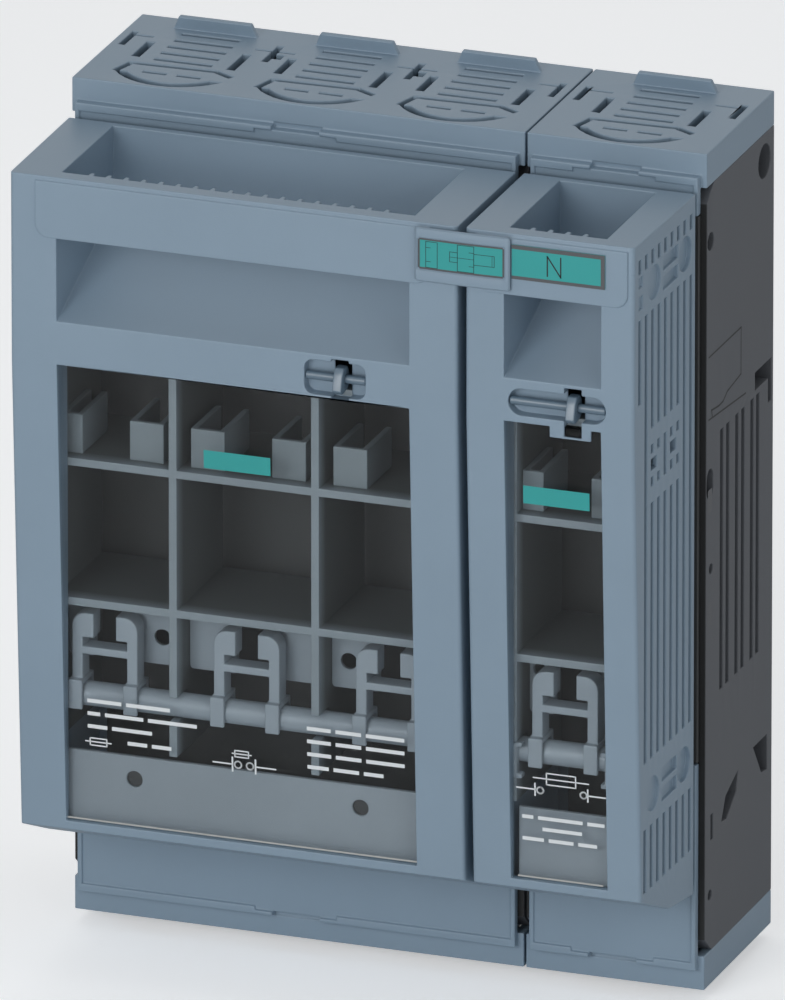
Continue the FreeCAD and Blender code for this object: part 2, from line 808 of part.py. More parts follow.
def buildCarrier(side, unit):
    name = "carrier_" + side
    body = newBody(name)
    outer, window = unit["carrier"], unit["window"]
    outline = sketch(body, "YZ_Plane", "CarrierOutline")
    polygon(outline, [
        ("-carrierBack", "carrierTop"),
        ("-carrierFront", "carrierTop"),
        ("-carrierFront", "bandFoot"),
        ("-carrierFront + frontLean", "-footFront"),
        ("-footMiddleDepth", "-footMiddle"),
        ("-carrierBack", "-footBack"),
    ])
    pad(body, outline, "2 * " + outer, both=True)
    # the free cheek is drafted: it draws in towards the front
    draft = sketch(body, "XY_Plane", "CheekDraft")
    free = unit["free"]
    polygon(draft, [
        ("%s(%s - %s)" % (free, outer, unit["cheekSet"]), "-carrierBack + 1"),
        ("%s(%s - %s - %s)" % (free, outer, unit["cheekSet"], unit["cheekDraft"]), "-carrierFront - 1"),
        ("%s(%s + 2)" % (free, outer), "-carrierFront - 1"),
        ("%s(%s + 2)" % (free, outer), "-carrierBack + 1"),
    ])
    drafted = pocket(body, draft, "2 * unitHeight", both=True)
    rounding = body.newObject("PartDesign::Fillet", "FrontRounding")
    rounding.Base = (drafted, verticalEdges(drafted.Shape, valueOf("carrierBack + 10")))
    bind(rounding, Radius="edgeRadius")
    body.Tip = rounding
    doc.recompute()
    # opening for the window and the tray
    opening = sketch(body, "XZ_Plane", "Opening")
    rectangle(opening, "-" + window, window, "-sill", "bandFoot")
    pocket(body, opening, "3 * carrierFront", both=True)
    room = sketch(body, "XZ_Plane", "TrayRoom", "trayFront + seatPlay")
    rectangle(room, "-" + unit["room"], unit["room"], "-sill", "bandFoot")
    pocket(body, room, "trayFront")
    # grip: open from the top, with a sloping floor that runs out in the finger recess
    grip = sketch(body, "YZ_Plane", "Grip")
    polygon(grip, [
        ("-gripBack", "carrierTop + 1"),
        ("-gripFront", "carrierTop + 1"),
        ("-gripFront", "barFoot"),
        ("-carrierFront - 2", "barFoot"),
        ("-carrierFront - 2", "bandHead"),
        ("-carrierFront", "bandHead"),
        ("-kneeDepth", "bandHead + gripKneeRise"),
        ("-gripBack", "bandHead + gripFloorRise"),
    ])
    pocket(body, grip, "2 * " + window, both=True)
    # hollow below the grip floor, and hollow foot
    under = sketch(body, "YZ_Plane", "UnderGrip")
    polygon(under, [
        ("-carrierBack + 1", "bandFoot - 1"),
        ("-carrierFront + shell + 0.5", "bandFoot - 1"),
        ("-carrierFront + shell + 0.5", "bandHead - shell"),
        ("-kneeDepth", "bandHead + gripKneeRise - shell"),
        ("-gripBack", "bandHead + gripFloorRise - shell"),
        ("-carrierBack + 1", "bandHead + gripFloorRise - shell"),
    ])
    pocket(body, under, "2 * " + unit["room"], both=True)
    foot = sketch(body, "YZ_Plane", "FootHollow")
    polygon(foot, [
        ("-carrierBack + 1", "-sill + 1"),
        ("-carrierFront + frontLean + shell", "-sill + 1"),
        ("-carrierFront + frontLean + shell", "-footFront + shell - 1.2"),
        ("-footMiddleDepth - 0.6", "-footMiddle + shell"),
        ("-carrierBack + 1", "-footBack + shell"),
    ])
    pocket(body, foot, "2 * " + unit["room"], both=True)
    cutStiles(body, unit)
    addBar(body, unit)
    buildGrille(body, unit)
    buildLockRecess(body, side, unit)
    buildTeeth(body, unit)
    keep(body, name, unit["centre"])


def cutStiles(body, unit):
    # the stiles are channels, open at the back, with a bore for the hinge journal
    channel = sketch(body, "YZ_Plane", "Channel", unit["channel"])
    polygon(channel, [
        ("-carrierBack + 1", "carrierTop - shell"),
        ("-carrierFront + shell", "carrierTop - shell"),
        ("-carrierFront + shell", "bandFoot"),
        ("-carrierFront + frontLean + shell", "-footFront + 1.4"),
        ("-footMiddleDepth - 0.6", "-footMiddle + shell"),
        ("-carrierBack + 1", "-footBack + shell"),
    ])
    channelCut = pocket(body, channel, unit["channelWidth"], back=True)
    gap = sketch(body, "YZ_Plane", "ArmGap", unit["channel"])
    rectangle(gap, "-hingeDepth - armHalf - 1.2", "-carrierBack + 1", "-footBack - 2", "-hingeDrop")
    gapCut = pocket(body, gap, unit["channelWidth"], back=True)
    bore = sketch(body, "YZ_Plane", "Bore", unit["room"] + " - 1")
    circle(bore, "-hingeDepth", "-hingeDrop", "hingePin + hingePlay")
    boreCut = pocket(body, bore, "innerWall + 2", back=True)
    mirrored(body, [channelCut, gapCut, boreCut])
    doc.recompute()


def buildGrille(body, unit):
    # cooling slots in the cheek that stands free, in nine columns round a pattern of short ones
    left = unit["free"] == "-"
    lift = unit["free"] + unit["carrier"]

    def openCheek(title, slots, depth="shell + 0.1"):
        drawing = sketch(body, "YZ_Plane", title, lift)
        for column, wide, low, high in slots:
            near = "-carrierFront + grilleFront + %d * grillePitch" % column
            rectangle(drawing, near, "%s + %s" % (near, wide), low, high)
        return pocket(body, drawing, depth, back=left)

    wide = "grilleSlot"
    for title, first, low, high in (
        ("HeadRow", 0, "carrierTop - 7.4", "carrierTop - 4"),
        ("FootRow", 1, "-footFront + 1.4", "-footFront + 16.2"),
    ):
        opening = openCheek(title, [(first, wide, low, high)])
        lineUp(body, [opening], "Y_Axis", "grillePitch", 9 - first)
        doc.recompute()
    high, low = "carrierTop - 18", "-footFront + 31.8"
    longSlots = [(0, wide, "bandFoot + 6", high)] + [(column, wide, low, high) for column in (1, 7, 8)]
    openCheek("LongSlots", longSlots)
    openCheek("HeadSlots", [(column, wide, "bandFoot - 1.8", high) for column in range(2, 7)])
    openCheek("FootSlots", [(column, wide, low, "bandFoot - 19.2") for column in range(2, 7)])
    pattern = [(4, wide, "bandFoot - 15.4", "bandFoot - 5.6")]
    for column in (2, 3, 5, 6):
        pattern.append((column, wide, "bandFoot - 15.4", "bandFoot - 13.2"))
        pattern.append((column, wide, "bandFoot - 7.8", "bandFoot - 5.6"))
    for column in (2, 5):
        pattern.append((column, "grillePitch - 0.4", "bandFoot - 11.7", "bandFoot - 9"))
    openCheek("Pattern", pattern)
    # shallow round and square dimples between the slots
    for title, height in (("HeadDimples", "(carrierTop - 11.9)"), ("FootDimples", "(-footFront + 23.2)")):
        for deep in (12.4, 31.7):
            drawing = sketch(body, "YZ_Plane", title, lift)
            facetedHole(drawing, "-carrierFront + %s" % deep, height, "dimpleRadius", 20)
            pocket(body, drawing, "dimpleDepth", back=left)
        drawing = sketch(body, "YZ_Plane", title + "Square", lift)
        for foot in (-3.9, 0.7):
            base = "%s + %s" % (height, foot)
            rectangle(drawing, "-carrierFront + 18.1", "-carrierFront + 27.2", base, base + " + 3.2")
        pocket(body, drawing, "dimpleDepth", back=left)
    drawing = sketch(body, "YZ_Plane", "FrontDimples", lift)
    for foot, head in ((10.6, 8), (15.7, 12.5)):
        across = ("-carrierFront + 3", "-carrierFront + 5.4")
        rectangle(drawing, *across, "carrierTop - %s" % foot, "carrierTop - %s" % head)
    pocket(body, drawing, "dimpleDepth", back=left)


def addBar(body, unit):
    # the face of the grip bar stands proud and has rounded lower corners
    face = sketch(body, "XZ_Plane", "BarFace", "carrierFront")
    end = "(%s - %s)" % (unit["carrier"], unit["barEnd"])
    roundedBox(face, "-" + end, end, "barFoot", "carrierTop - 1", "barCorner")
    pad(body, face, "barRise")


def buildLockRecess(body, side, unit):
    # rounded recess in the band, with a deeper slot for the lever
    recess = sketch(body, "XZ_Plane", "LockRecess", "carrierFront")
    lock = unit["lock"]
    if side == "main":
        edges = (lock + " - 8.3", lock + " + 5.9", "lockHeight - 4", "lockHeight + 4")
        roundedBox(recess, *edges, "2", "2")
    else:
        tab = sketch(body, "XZ_Plane", "LockTab", "carrierFront")
        rectangle(tab, lock + " - 5.4", lock + " + 4.2", "bandFoot - 2.5", "bandFoot + 0.5")
        pad(body, tab, "windowRecess - 0.1", back=True)
        edges = (lock + " - 15", lock + " + 7.6", "lockHeight - 3", "lockHeight + 3.2")
        roundedBox(recess, *edges, "3.05", "3.05", 6)
    pocket(body, recess, "lockFloor")
    slot = sketch(body, "XZ_Plane", "LockSlot", "carrierFront")
    low = "lockHeight - 4.6" if side == "main" else "bandFoot - 2"
    rectangle(slot, lock + " - 2", lock + " + 2", low, "lockHeight + 4.6")
    pocket(body, slot, "lockDepth")


def buildTeeth(body, unit):
    # ribs behind the grip bar, flush with its top
    count = int(valueOf("(2 * %s - 6) / toothPitch" % unit["window"]))
    tooth = sketch(body, "XY_Plane", "Tooth", "barFoot + 3")
    first = "-%d * toothPitch / 2" % (count - 1)
    polygon(tooth, [
        (first + " - toothWidth / 2", "-gripFront - 0.2"),
        (first + " + toothWidth / 2", "-gripFront - 0.2"),
        (first + " + toothWidth / 2 - 0.2", "-gripFront + toothDepth"),
        (first + " - toothWidth / 2 + 0.2", "-gripFront + toothDepth"),
    ])
    rib = pad(body, tooth, "carrierTop - barFoot - 3")
    lineUp(body, [rib], "X_Axis", "toothPitch", count)
    doc.recompute()


# Window, tray and what holds the fuse-links

def buildWindow(side, unit):
    name = "window_" + side
    body = newBody(name)
    across = unit["window"] + " - seatPlay"
    profile = sketch(body, "YZ_Plane", "Pane")
    low = "-sill + seatPlay"
    polygon(profile, [
        (frontAt("trayHead", "windowRecess"), "trayHead"),
        (frontAt(low, "windowRecess"), low),
        (frontAt(low, "windowRecess + windowThickness"), low),
        (frontAt("trayHead", "windowRecess + windowThickness"), "trayHead"),
    ])
    pad(body, profile, "2 * (%s)" % across, both=True)
    keep(body, name, unit["centre"])


def buildTray(side, unit):
    name = "fuse_tray_" + side
    across = "(%s - seatPlay)" % unit["room"]
    depth = ("-trayFront", "-trayBack")
    shell = block(name + "Shell", ("-" + across, across), depth, ("-trayFoot", "trayHead"))
    levels = (
        ("upperShelf + trayWall / 2", "trayHead - trayWall"),
        ("-lowerShelf + trayWall / 2", "upperShelf - trayWall / 2"),
        ("-trayFoot - 1", "-lowerShelf - trayWall / 2"),
    )
    rooms = []
    for index, pole in enumerate(unit["poles"]):
        left = "%d * polePitch - polePitch / 2 + trayWall / 2" % pole
        right = "%d * polePitch + polePitch / 2 - trayWall / 2" % pole
        if index == 0:
            left = "-%s + traySide" % across
        if index == len(unit["poles"]) - 1:
            right = across + " - traySide"
        for level in levels:
            rooms.append(block(name + "Room", (left, right), ("-trayFront - 1", "-trayBack + 1"), level))
    # the bar lies in notches that are open towards the window
    notch = block(
        name + "BarNotch",
        ("-%s - 1" % across, across + " + 1"),
        ("-trayFront - 1", "-barDepth + barRadius + barPlay"),
        ("-barDrop - barRadius - barPlay", "-barDrop + barRadius + barPlay"),
    )
    keep(cut(name, shell, [gathered(name + "Rooms", rooms), notch]), name, unit["centre"])


def buildSeatBar(side, unit):
    name = "seat_bar_" + side
    across = "(%s - seatPlay - barPlay)" % unit["room"]
    bar = rod(name, "X", ("0", "-barDepth", "-barDrop"), "2 * " + across, "barRadius")
    keep(bar, name, "%s - %s" % (unit["centre"], across))


def buildHook(unit, pole, label):
    # inverted U with inward heads for the fuse-link's lower lug; its forked feet straddle the bar
    body = newBody(label + "Plate")
    drawing = sketch(body, "XZ_Plane", "HookOutline", "barDepth + hookThickness / 2")
    top = "-barDrop + hookHeight"
    under = top + " - hookHead"
    cross = "-barDrop + hookCross"
    inner = "(hookReach - hookLeg)"
    corner = turnPoints("hookReach - hookCorner", top + " - hookCorner", "hookCorner", 0, 90, 4)
    right = [("hookReach", "-barDrop")] + corner
    right += [("hookMouth", top), ("hookMouth", under)]
    right += [(inner, under), (inner, cross + " + hookCrossWidth")]
    low = [(inner, "-barDrop"), (inner, cross)]
    left = [("-(%s)" % x, z) for x, z in reversed(right)]
    polygon(drawing, right + left + [("-%s" % x, z) for x, z in low] + list(reversed(low)))
    pad(body, drawing, "hookThickness", back=True)
    solids = [body]
    for sign in ("", "-"):
        edges = sorted(["%s(hookReach + 0.4)" % sign, "%s(%s - 0.4)" % (sign, inner)], key=valueOf)
        deep = ("-barDepth - barRadius - 1", "-barDepth + barRadius + 1.2")
        tall = ("-barDrop - barRadius", "-barDrop + barRadius + 1.3")
        solids.append(block(label + "Foot", edges, deep, tall))
    fork = block(
        label + "Fork",
        ("-hookReach - 2", "hookReach + 2"),
        ("-barDepth - barRadius - barPlay", "-barDepth + barRadius + barPlay"),
        ("-barDrop - barRadius - 1", "-barDrop + barRadius + barPlay"),
    )
    keep(cut(label, joined(label + "Whole", solids), [fork]), label, poleCentre(unit, pole))


def buildUpperClips(side, unit):
    # a pair of open boxes for each pole that grip the fuse-link's upper lug
    name = "upper_clips_" + side
    clips = []
    floor = "upperShelf + trayWall / 2"
    last = len(unit["poles"]) - 1
    for index, pole in enumerate(unit["poles"]):
        for sign in ("-", ""):
            outermost = index == (0 if sign else last)
            near = "%d * polePitch + %s(clipNear * polePitch / 33.3)" % (pole, sign)
            far = "%d * polePitch + %s(clipFar * polePitch / 33.3)" % (pole, sign)
            if outermost:
                far = "%s(%s - seatPlay - traySide - 0.2)" % (sign, unit["room"])
            x = sorted((near, far), key=valueOf)
            deep = ("-trayFront + 3", "-footMiddleDepth + 4")
            outside = block(name + "Body", x, deep, (floor, floor + " + clipHeight"))
            inside = block(
                name + "Room",
                (x[0] + " + clipWall", x[1] + " - clipWall"),
                ("-trayFront + 4.2", "-footMiddleDepth + 5"),
                (floor + " + clipWall", floor + " + clipHeight + 3"),
            )
            clips.append(cut(name + "Clip", outside, [inside]))
    keep(gathered(name, clips), name, unit["centre"])


# Lock lever on its pin, in the recess of the band

def buildLock(side, unit):
    label = "lock_lever_" + side
    body = newBody(label)
    outline = sketch(body, "YZ_Plane", "LeverOutline", "-1.1")
    polygon(outline, [
        ("2", "1.2"), ("0.8", "2.9"), ("-1.6", "2.9"), ("-2.6", "1.4"),
        ("-3.6", "-2"), ("-2.4", "-3"), ("1", "-2.6"), ("2.4", "-1"),
    ])
    circle(outline, "0", "0", "lockPin + lockPlay")
    pad(body, outline, "2.2")
    place = "-carrierFront + pinDepth"
    bind(body, Placement_Base_y=place, Placement_Base_z="lockHeight")
    keep(body, label, "%s + %s" % (unit["centre"], unit["lock"]))
    # the pin spans the recess, a little short of its ends
    left, right = ("8.2", "5.8") if side == "main" else ("14.8", "7.4")
    pin = rod("lock_pin_" + side, "X", ("0", place, "lockHeight"), "%s + %s" % (left, right), "lockPin")
    keep(pin, "lock_pin_" + side, "%s + %s - %s" % (unit["centre"], unit["lock"], left))


# Contacts and terminals, hidden behind the guard

def buildContact(unit, pole, label, end):
    # a flat bar from the terminal to a pair of spring-loaded jaws
    centre = "bladeTop" if end == "line" else "bladeBottom"
    low = "(%s - jawHalf)" % centre

    def span(start, stop):
        return (start, stop) if end == "line" else ("-(%s)" % stop, "-(%s)" % start)

    tall = span(low, low + " + 2 * jawHalf")
    across = ("-railWidth / 2", "railWidth / 2")
    depth = ("-railDepth", "-railDepth + railThickness")
    solids = [block(label + "Rail", across, depth, span(low, "terminalHeight + 8"))]
    for sign in ("", "-"):
        edges = sorted([sign + "jawGap", "%s(jawGap + jawWall)" % sign], key=valueOf)
        solids.append(block(label + "Jaw", edges, ("-railDepth - jawLength", "-railDepth"), tall))
        lip = sorted([sign + "jawGap", "%s(jawGap + jawWall + 1.2)" % sign], key=valueOf)
        tip = ("-railDepth - jawLength - 2", "-railDepth - jawLength")
        solids.append(block(label + "Lip", lip, tip, tall))
    depth = ("-railDepth + railThickness", "-backWall")
    solids.append(block(label + "Seat", across, depth, span("terminalHeight - 11", "terminalHeight - 5")))
    height = "terminalHeight" if end == "line" else "-terminalHeight"
    place = ("0", "-railDepth + railThickness + 1", height)
    hole = prism(label + "Hole", 12, place, "railThickness + 2", "screwRadius + screwPlay")
    keep(cut(label, joined(label + "Whole", solids), [hole]), label, poleCentre(unit, pole))


def buildSprings(side, unit):
    # flat steel clip round each pair of jaws
    name = "jaw_springs_" + side
    clips = []
    wide = "jawGap + jawWall"
    for pole in unit["poles"]:
        x = "%d * polePitch" % pole
        for centre in ("bladeTop", "-bladeBottom"):
            reach = "(%s + springWall)" % wide
            tall = "(jawHalf + 0.2 + springWall)"
            outer = block(
                name + "Outer",
                ("%s - %s" % (x, reach), "%s + %s" % (x, reach)),
                ("-railDepth - 18", "-railDepth - 6"),
                ("%s - %s" % (centre, tall), "%s + %s" % (centre, tall)),
            )
            inner = block(
                name + "Inner",
                ("%s - (%s)" % (x, wide), "%s + %s" % (x, wide)),
                ("-railDepth - 19", "-railDepth - 5"),
                (centre + " - jawHalf - 0.2", centre + " + jawHalf + 0.2"),
            )
            clips.append(cut(name + "Clip", outer, [inner]))
    keep(gathered(name, clips), name, unit["centre"])


def buildTerminals(side, unit):
    # screw and saddle of each terminal
    screws = []
    saddles = []
    for pole in unit["poles"]:
        x = "%d * polePitch" % pole
        for height in ("terminalHeight", "-terminalHeight"):
            shank = prism("Shank", 10, (x, "-backWall - 2", height), "railDepth + 5", "screwRadius")
            head = prism("Head", 6, (x, "-railDepth - 10", height), "5", "screwHead")
            screws.append(joined("Screw", [shank, head]))
            plate = block(
                "Saddle",
                (x + " - saddleHalf", x + " + saddleHalf"),
                ("-railDepth - 10", "-railDepth - 10 + saddleThickness"),
                (height + " - saddleHalf + 1.5", height + " + saddleHalf - 1.5"),
            )
            reach = "(screwRadius + 0.2)"
            hole = block(
                "SaddleHole",
                ("%s - %s" % (x, reach), "%s + %s" % (x, reach)),
                ("-railDepth - 11", "-railDepth - 9 + saddleThickness"),
                ("%s - %s" % (height, reach), "%s + %s" % (height, reach)),
            )
            saddles.append(cut("SaddlePlate", plate, [hole]))
    keep(gathered("terminal_screws_" + side, screws), "terminal_screws_" + side, unit["centre"])
    keep(gathered("terminal_saddles_" + side, saddles), "terminal_saddles_" + side, unit["centre"])


def buildSplitters(side, unit):
    # steel plates above the upper jaws that cool the switching arc
    plates = []
    half = "(polePitch / 2 - poleWall / 2 - 0.2)"
    for pole in unit["poles"]:
        x = "%d * polePitch" % pole
        for step in range(4):
            low = "bladeTop + 11.5 + %d * plateStep" % step
            across = ("%s - %s" % (x, half), "%s + %s" % (x, half))
            depth = ("-baseDepth + 4.2", "-railDepth - 6")
            plate = block("Plate", across, depth, (low, low + " + 1"))
            notchDepth = ("-baseDepth + 3", "-railDepth - 18")
            notch = block("Notch", (x + " - 4", x + " + 4"), notchDepth, (low + " - 1", low + " + 2"))
            plates.append(cut("Splitter", plate, [notch]))
    keep(gathered("splitter_plates_" + side, plates), "splitter_plates_" + side, unit["centre"])


# Clip that ties the two carriers together, and the neutral pole's label plate

def buildLink():
    unit = units["main"]
    edge = "%s + %s" % (unit["centre"], unit["carrier"])
    left = edge + " - linkLap"
    height = ("barFoot + 1.1", "carrierTop - 0.6")
    depth = ("-barFront - linkThickness", "-barFront")
    clip = block("LinkPlate", (left, left + " + linkWidth"), depth, height)
    # the end that laps over the neutral carrier stands clear of it
    lap = (edge + " + 0.1", edge + " + linkWidth")
    clear = block("LinkClear", lap, ("-barFront - 0.3", "-barFront"), ("barFoot", "carrierTop"))
    foot = block(
        "LinkFoot",
        (edge + " + 0.2", edge + " + 1.5"),
        ("-barFront - 0.4", "-carrierFront + 10"),
        ("barFoot + 2", "carrierTop - 3"),
    )
    keep(joined("link_clip", [cut("LinkStepped", clip, [clear]), foot]), "link_clip")


def buildLabel():
    # lies on the face of the neutral grip bar, beside the clip
    main = units["main"]
    left = "%s + %s - linkLap + linkWidth + 0.2" % (main["centre"], main["carrier"])
    depth = ("-barFront - labelThickness", "-barFront")
    label = block("pole_label", ("0", "labelWidth"), depth, ("carrierTop - 10.1", "carrierTop - 2.2"))
    keep(label, "pole_label_neutral", left)


for side, unit in units.items():
    buildBase(side, unit)
    buildCover(side, unit, "top")
    buildCover(side, unit, "bottom")
    buildGuard(side, unit)
    buildCarrier(side, unit)
    buildWindow(side, unit)
    buildTray(side, unit)
    buildSeatBar(side, unit)
    buildUpperClips(side, unit)
    buildLock(side, unit)
    buildSprings(side, unit)
    buildTerminals(side, unit)
    buildSplitters(side, unit)
    for pole in unit["poles"]:
        tag = "neutral" if side == "neutral" else str(pole + 2)
        buildHook(unit, pole, "foot_hook_" + tag)
        buildContact(unit, pole, "line_contact_" + tag, "line")
        buildContact(unit, pole, "load_contact_" + tag, "load")
buildLink()
buildLabel()
doc.recompute()

for item in doc.Objects:
    if "Invalid" in item.State or "Error" in item.State:
        raise RuntimeError("%s (%s) did not build" % (item.Name, item.Label))
for piece in pieces:
    if piece.Shape.isNull() or not piece.Shape.isValid():
        raise RuntimeError("%s has no valid shape" % piece.Label)
for piece in pieces:
    piece.Shape.exportStep("parts/%s.step" % piece.Label)
    print(piece.Label, len(piece.Shape.Solids), round(piece.Shape.Volume, 1))
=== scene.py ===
import math

import bmesh
import bpy
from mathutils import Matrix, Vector


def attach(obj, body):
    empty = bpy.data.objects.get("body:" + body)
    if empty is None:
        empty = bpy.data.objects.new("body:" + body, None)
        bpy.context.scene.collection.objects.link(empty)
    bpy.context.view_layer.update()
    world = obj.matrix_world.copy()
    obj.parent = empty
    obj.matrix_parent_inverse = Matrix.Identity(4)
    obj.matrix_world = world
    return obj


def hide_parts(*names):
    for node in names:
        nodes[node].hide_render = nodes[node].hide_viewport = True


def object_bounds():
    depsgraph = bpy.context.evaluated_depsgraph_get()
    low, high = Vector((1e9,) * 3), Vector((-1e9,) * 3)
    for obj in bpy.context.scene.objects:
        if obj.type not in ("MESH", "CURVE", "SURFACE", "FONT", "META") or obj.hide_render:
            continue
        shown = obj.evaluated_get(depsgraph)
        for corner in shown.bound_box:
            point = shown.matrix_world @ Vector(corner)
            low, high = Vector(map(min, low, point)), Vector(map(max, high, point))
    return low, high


# Fuse switch disconnector: looks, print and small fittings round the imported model.
# The sizes of pieces are written in millimetres, and become metres where they are multiplied by mm.

mm = 0.001
sharpAngle = math.radians(32)  # an edge that turns by more than this gets rounded
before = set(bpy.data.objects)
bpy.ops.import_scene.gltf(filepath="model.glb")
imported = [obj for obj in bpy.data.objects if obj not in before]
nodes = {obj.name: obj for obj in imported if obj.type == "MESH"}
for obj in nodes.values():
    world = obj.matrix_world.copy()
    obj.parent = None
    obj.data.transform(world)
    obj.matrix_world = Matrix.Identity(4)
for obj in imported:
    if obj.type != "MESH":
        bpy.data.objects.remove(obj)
cadBox = [list(corner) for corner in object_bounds()]
print("model loaded,", len(nodes), "nodes")


# Colours and shader nodes

def srgb(red, green, blue):
    # a colour as it is seen, 0 to 255, as the linear value that shaders take
    linear = []
    for value in (red, green, blue):
        share = value / 255
        linear.append(share / 12.92 if share < 0.04045 else ((share + 0.055) / 1.055) ** 2.4)
    return (*linear, 1.0)


def shaded(colour, factor):
    # the same colour, paler or darker
    return (*(min(1.0, value * factor) for value in colour[:3]), 1.0)


def feed(tree, socket, value):
    # links another node's output, or sets a plain value
    if isinstance(value, bpy.types.NodeSocket):
        tree.links.new(value, socket)
    else:
        socket.default_value = value


def mathNode(tree, operation, first, second=0.0):
    node = tree.nodes.new("ShaderNodeMath")
    node.operation = operation
    feed(tree, node.inputs[0], first)
    feed(tree, node.inputs[1], second)
    return node.outputs[0]


def rangeNode(tree, value, source=(0.0, 1.0), target=(0.0, 1.0)):
    node = tree.nodes.new("ShaderNodeMapRange")
    tree.links.new(value, node.inputs["Value"])
    for label, number in zip(("From Min", "From Max", "To Min", "To Max"), (*source, *target)):
        node.inputs[label].default_value = number
    return node.outputs[0]


def mixColours(tree, share, first, second):
    node = tree.nodes.new("ShaderNodeMix")
    node.data_type = "RGBA"
    for index, value in ((0, share), (6, first), (7, second)):  # factor and the two colour sockets
        feed(tree, node.inputs[index], value)
    return node.outputs[2]


def objectPlace(tree):
    return tree.nodes.new("ShaderNodeTexCoord").outputs["Object"]


def noiseNode(tree, place, settings):
    noise = tree.nodes.new("ShaderNodeTexNoise")
    tree.links.new(place, noise.inputs["Vector"])
    for label, value in settings.items():
        feed(tree, noise.inputs[label], value)
    return noise.outputs["Fac"]


# Shared effects

def newGroup(name, inputs, outputs):
    group = bpy.data.node_groups.new(name, "ShaderNodeTree")
    for label, value in inputs.items():
        socket = group.interface.new_socket(name=label, in_out="INPUT", socket_type="NodeSocketFloat")
        socket.default_value = value
    for label in outputs:
        group.interface.new_socket(name=label, in_out="OUTPUT", socket_type="NodeSocketFloat")
    return group, group.nodes.new("NodeGroupInput"), group.nodes.new("NodeGroupOutput")


mouldTexture = {
    "grain": {"Detail": 2.0},
    "waves": {"Scale": 45.0, "Detail": 1.0},
    "patches": {"Scale": 22.0, "Detail": 4.0, "Roughness": 0.6},
    "patchRange": (0.3, 0.7),
    "speckleRange": (0.35, 0.65),
}


def makeMouldGroup():
    # spark-eroded mould texture: fine grain, slow waviness, and patches a little duller than others
    look = mouldTexture
    group, inside, outside = newGroup(
        "mouldTexture",
        {"Grain Size": 0.0003, "Grain Depth": 1.0, "Wave Depth": 1.0},
        ("Height", "Patches", "Speckle"),
    )
    place = objectPlace(group)
    grainScale = mathNode(group, "DIVIDE", 1.0, inside.outputs["Grain Size"])
    grain = noiseNode(group, place, {**look["grain"], "Scale": grainScale})
    waves = noiseNode(group, place, look["waves"])
    patches = noiseNode(group, place, look["patches"])
    fine = mathNode(group, "MULTIPLY", grain, inside.outputs["Grain Depth"])
    slow = mathNode(group, "MULTIPLY", waves, inside.outputs["Wave Depth"])
    group.links.new(mathNode(group, "ADD", fine, slow), outside.inputs["Height"])
    group.links.new(rangeNode(group, patches, source=look["patchRange"]), outside.inputs["Patches"])
    group.links.new(rangeNode(group, grain, source=look["speckleRange"]), outside.inputs["Speckle"])
    return group


metalTexture = {
    "stretch": (2500, 2500, 90),
    "streaks": {"Scale": 1.0, "Detail": 3.0},
    "streakRange": (0.3, 0.7),
}


def makeBrushGroup():
    # fine parallel drawing marks of rolled and plated metal
    look = metalTexture
    group, inside, outside = newGroup("rolledMetal", {"Streak Depth": 1.0}, ("Height", "Streaks"))
    stretch = group.nodes.new("ShaderNodeMapping")
    stretch.inputs["Scale"].default_value = look["stretch"]
    group.links.new(objectPlace(group), stretch.inputs["Vector"])
    streaks = noiseNode(group, stretch.outputs["Vector"], look["streaks"])
    height = mathNode(group, "MULTIPLY", streaks, inside.outputs["Streak Depth"])
    group.links.new(height, outside.inputs["Height"])
    group.links.new(rangeNode(group, streaks, source=look["streakRange"]), outside.inputs["Streaks"])
    return group


mouldGroup = makeMouldGroup()
brushGroup = makeBrushGroup()
print("shared effects made")


# Materials; each roughness is a pair, for the smooth and the dull places

def newMaterial(name):
    material = bpy.data.materials.new(name)
    material.use_nodes = True
    tree = material.node_tree
    return material, tree, tree.nodes["Principled BSDF"]


def effectNode(tree, group, settings):
    effect = tree.nodes.new("ShaderNodeGroup")
    effect.node_tree = group
    for label, value in settings.items():
        effect.inputs[label].default_value = value
    return effect.outputs


def addBump(tree, shader, height, distance):
    bump = tree.nodes.new("ShaderNodeBump")
    bump.inputs["Distance"].default_value = distance
    tree.links.new(height, bump.inputs["Height"])
    tree.links.new(bump.outputs["Normal"], shader.inputs["Normal"])


def mouldedPlastic(name, look):
    material, tree, shader = newMaterial(name)
    effect = effectNode(tree, mouldGroup, look["texture"])
    base = look["colour"]
    paler = shaded(base, 1 + look["variation"])
    darker = shaded(base, 1 - look["variation"])
    colour = mixColours(tree, effect["Patches"], darker, paler)
    if "speckle" in look:
        flecks = mathNode(tree, "MULTIPLY", effect["Speckle"], look["speckle"])
        colour = mixColours(tree, flecks, colour, shaded(base, look["fleckShade"]))
    if "paintedDepthShade" in look:
        # painted shade: the colour turns to a darker one from a start depth to an end depth behind the front
        split = tree.nodes.new("ShaderNodeSeparateXYZ")
        tree.links.new(objectPlace(tree), split.inputs["Vector"])
        start, end = look["shadeDepths"]
        depth = rangeNode(tree, split.outputs["Y"], source=(start * mm, end * mm))
        colour = mixColours(tree, depth, colour, look["paintedDepthShade"])
    tree.links.new(colour, shader.inputs["Base Color"])
    roughness = rangeNode(tree, effect["Patches"], target=look["roughness"])
    tree.links.new(roughness, shader.inputs["Roughness"])
    shader.inputs["Specular IOR Level"].default_value = look.get("specular", 0.5)
    addBump(tree, shader, effect["Height"], look["bump"])
    return material


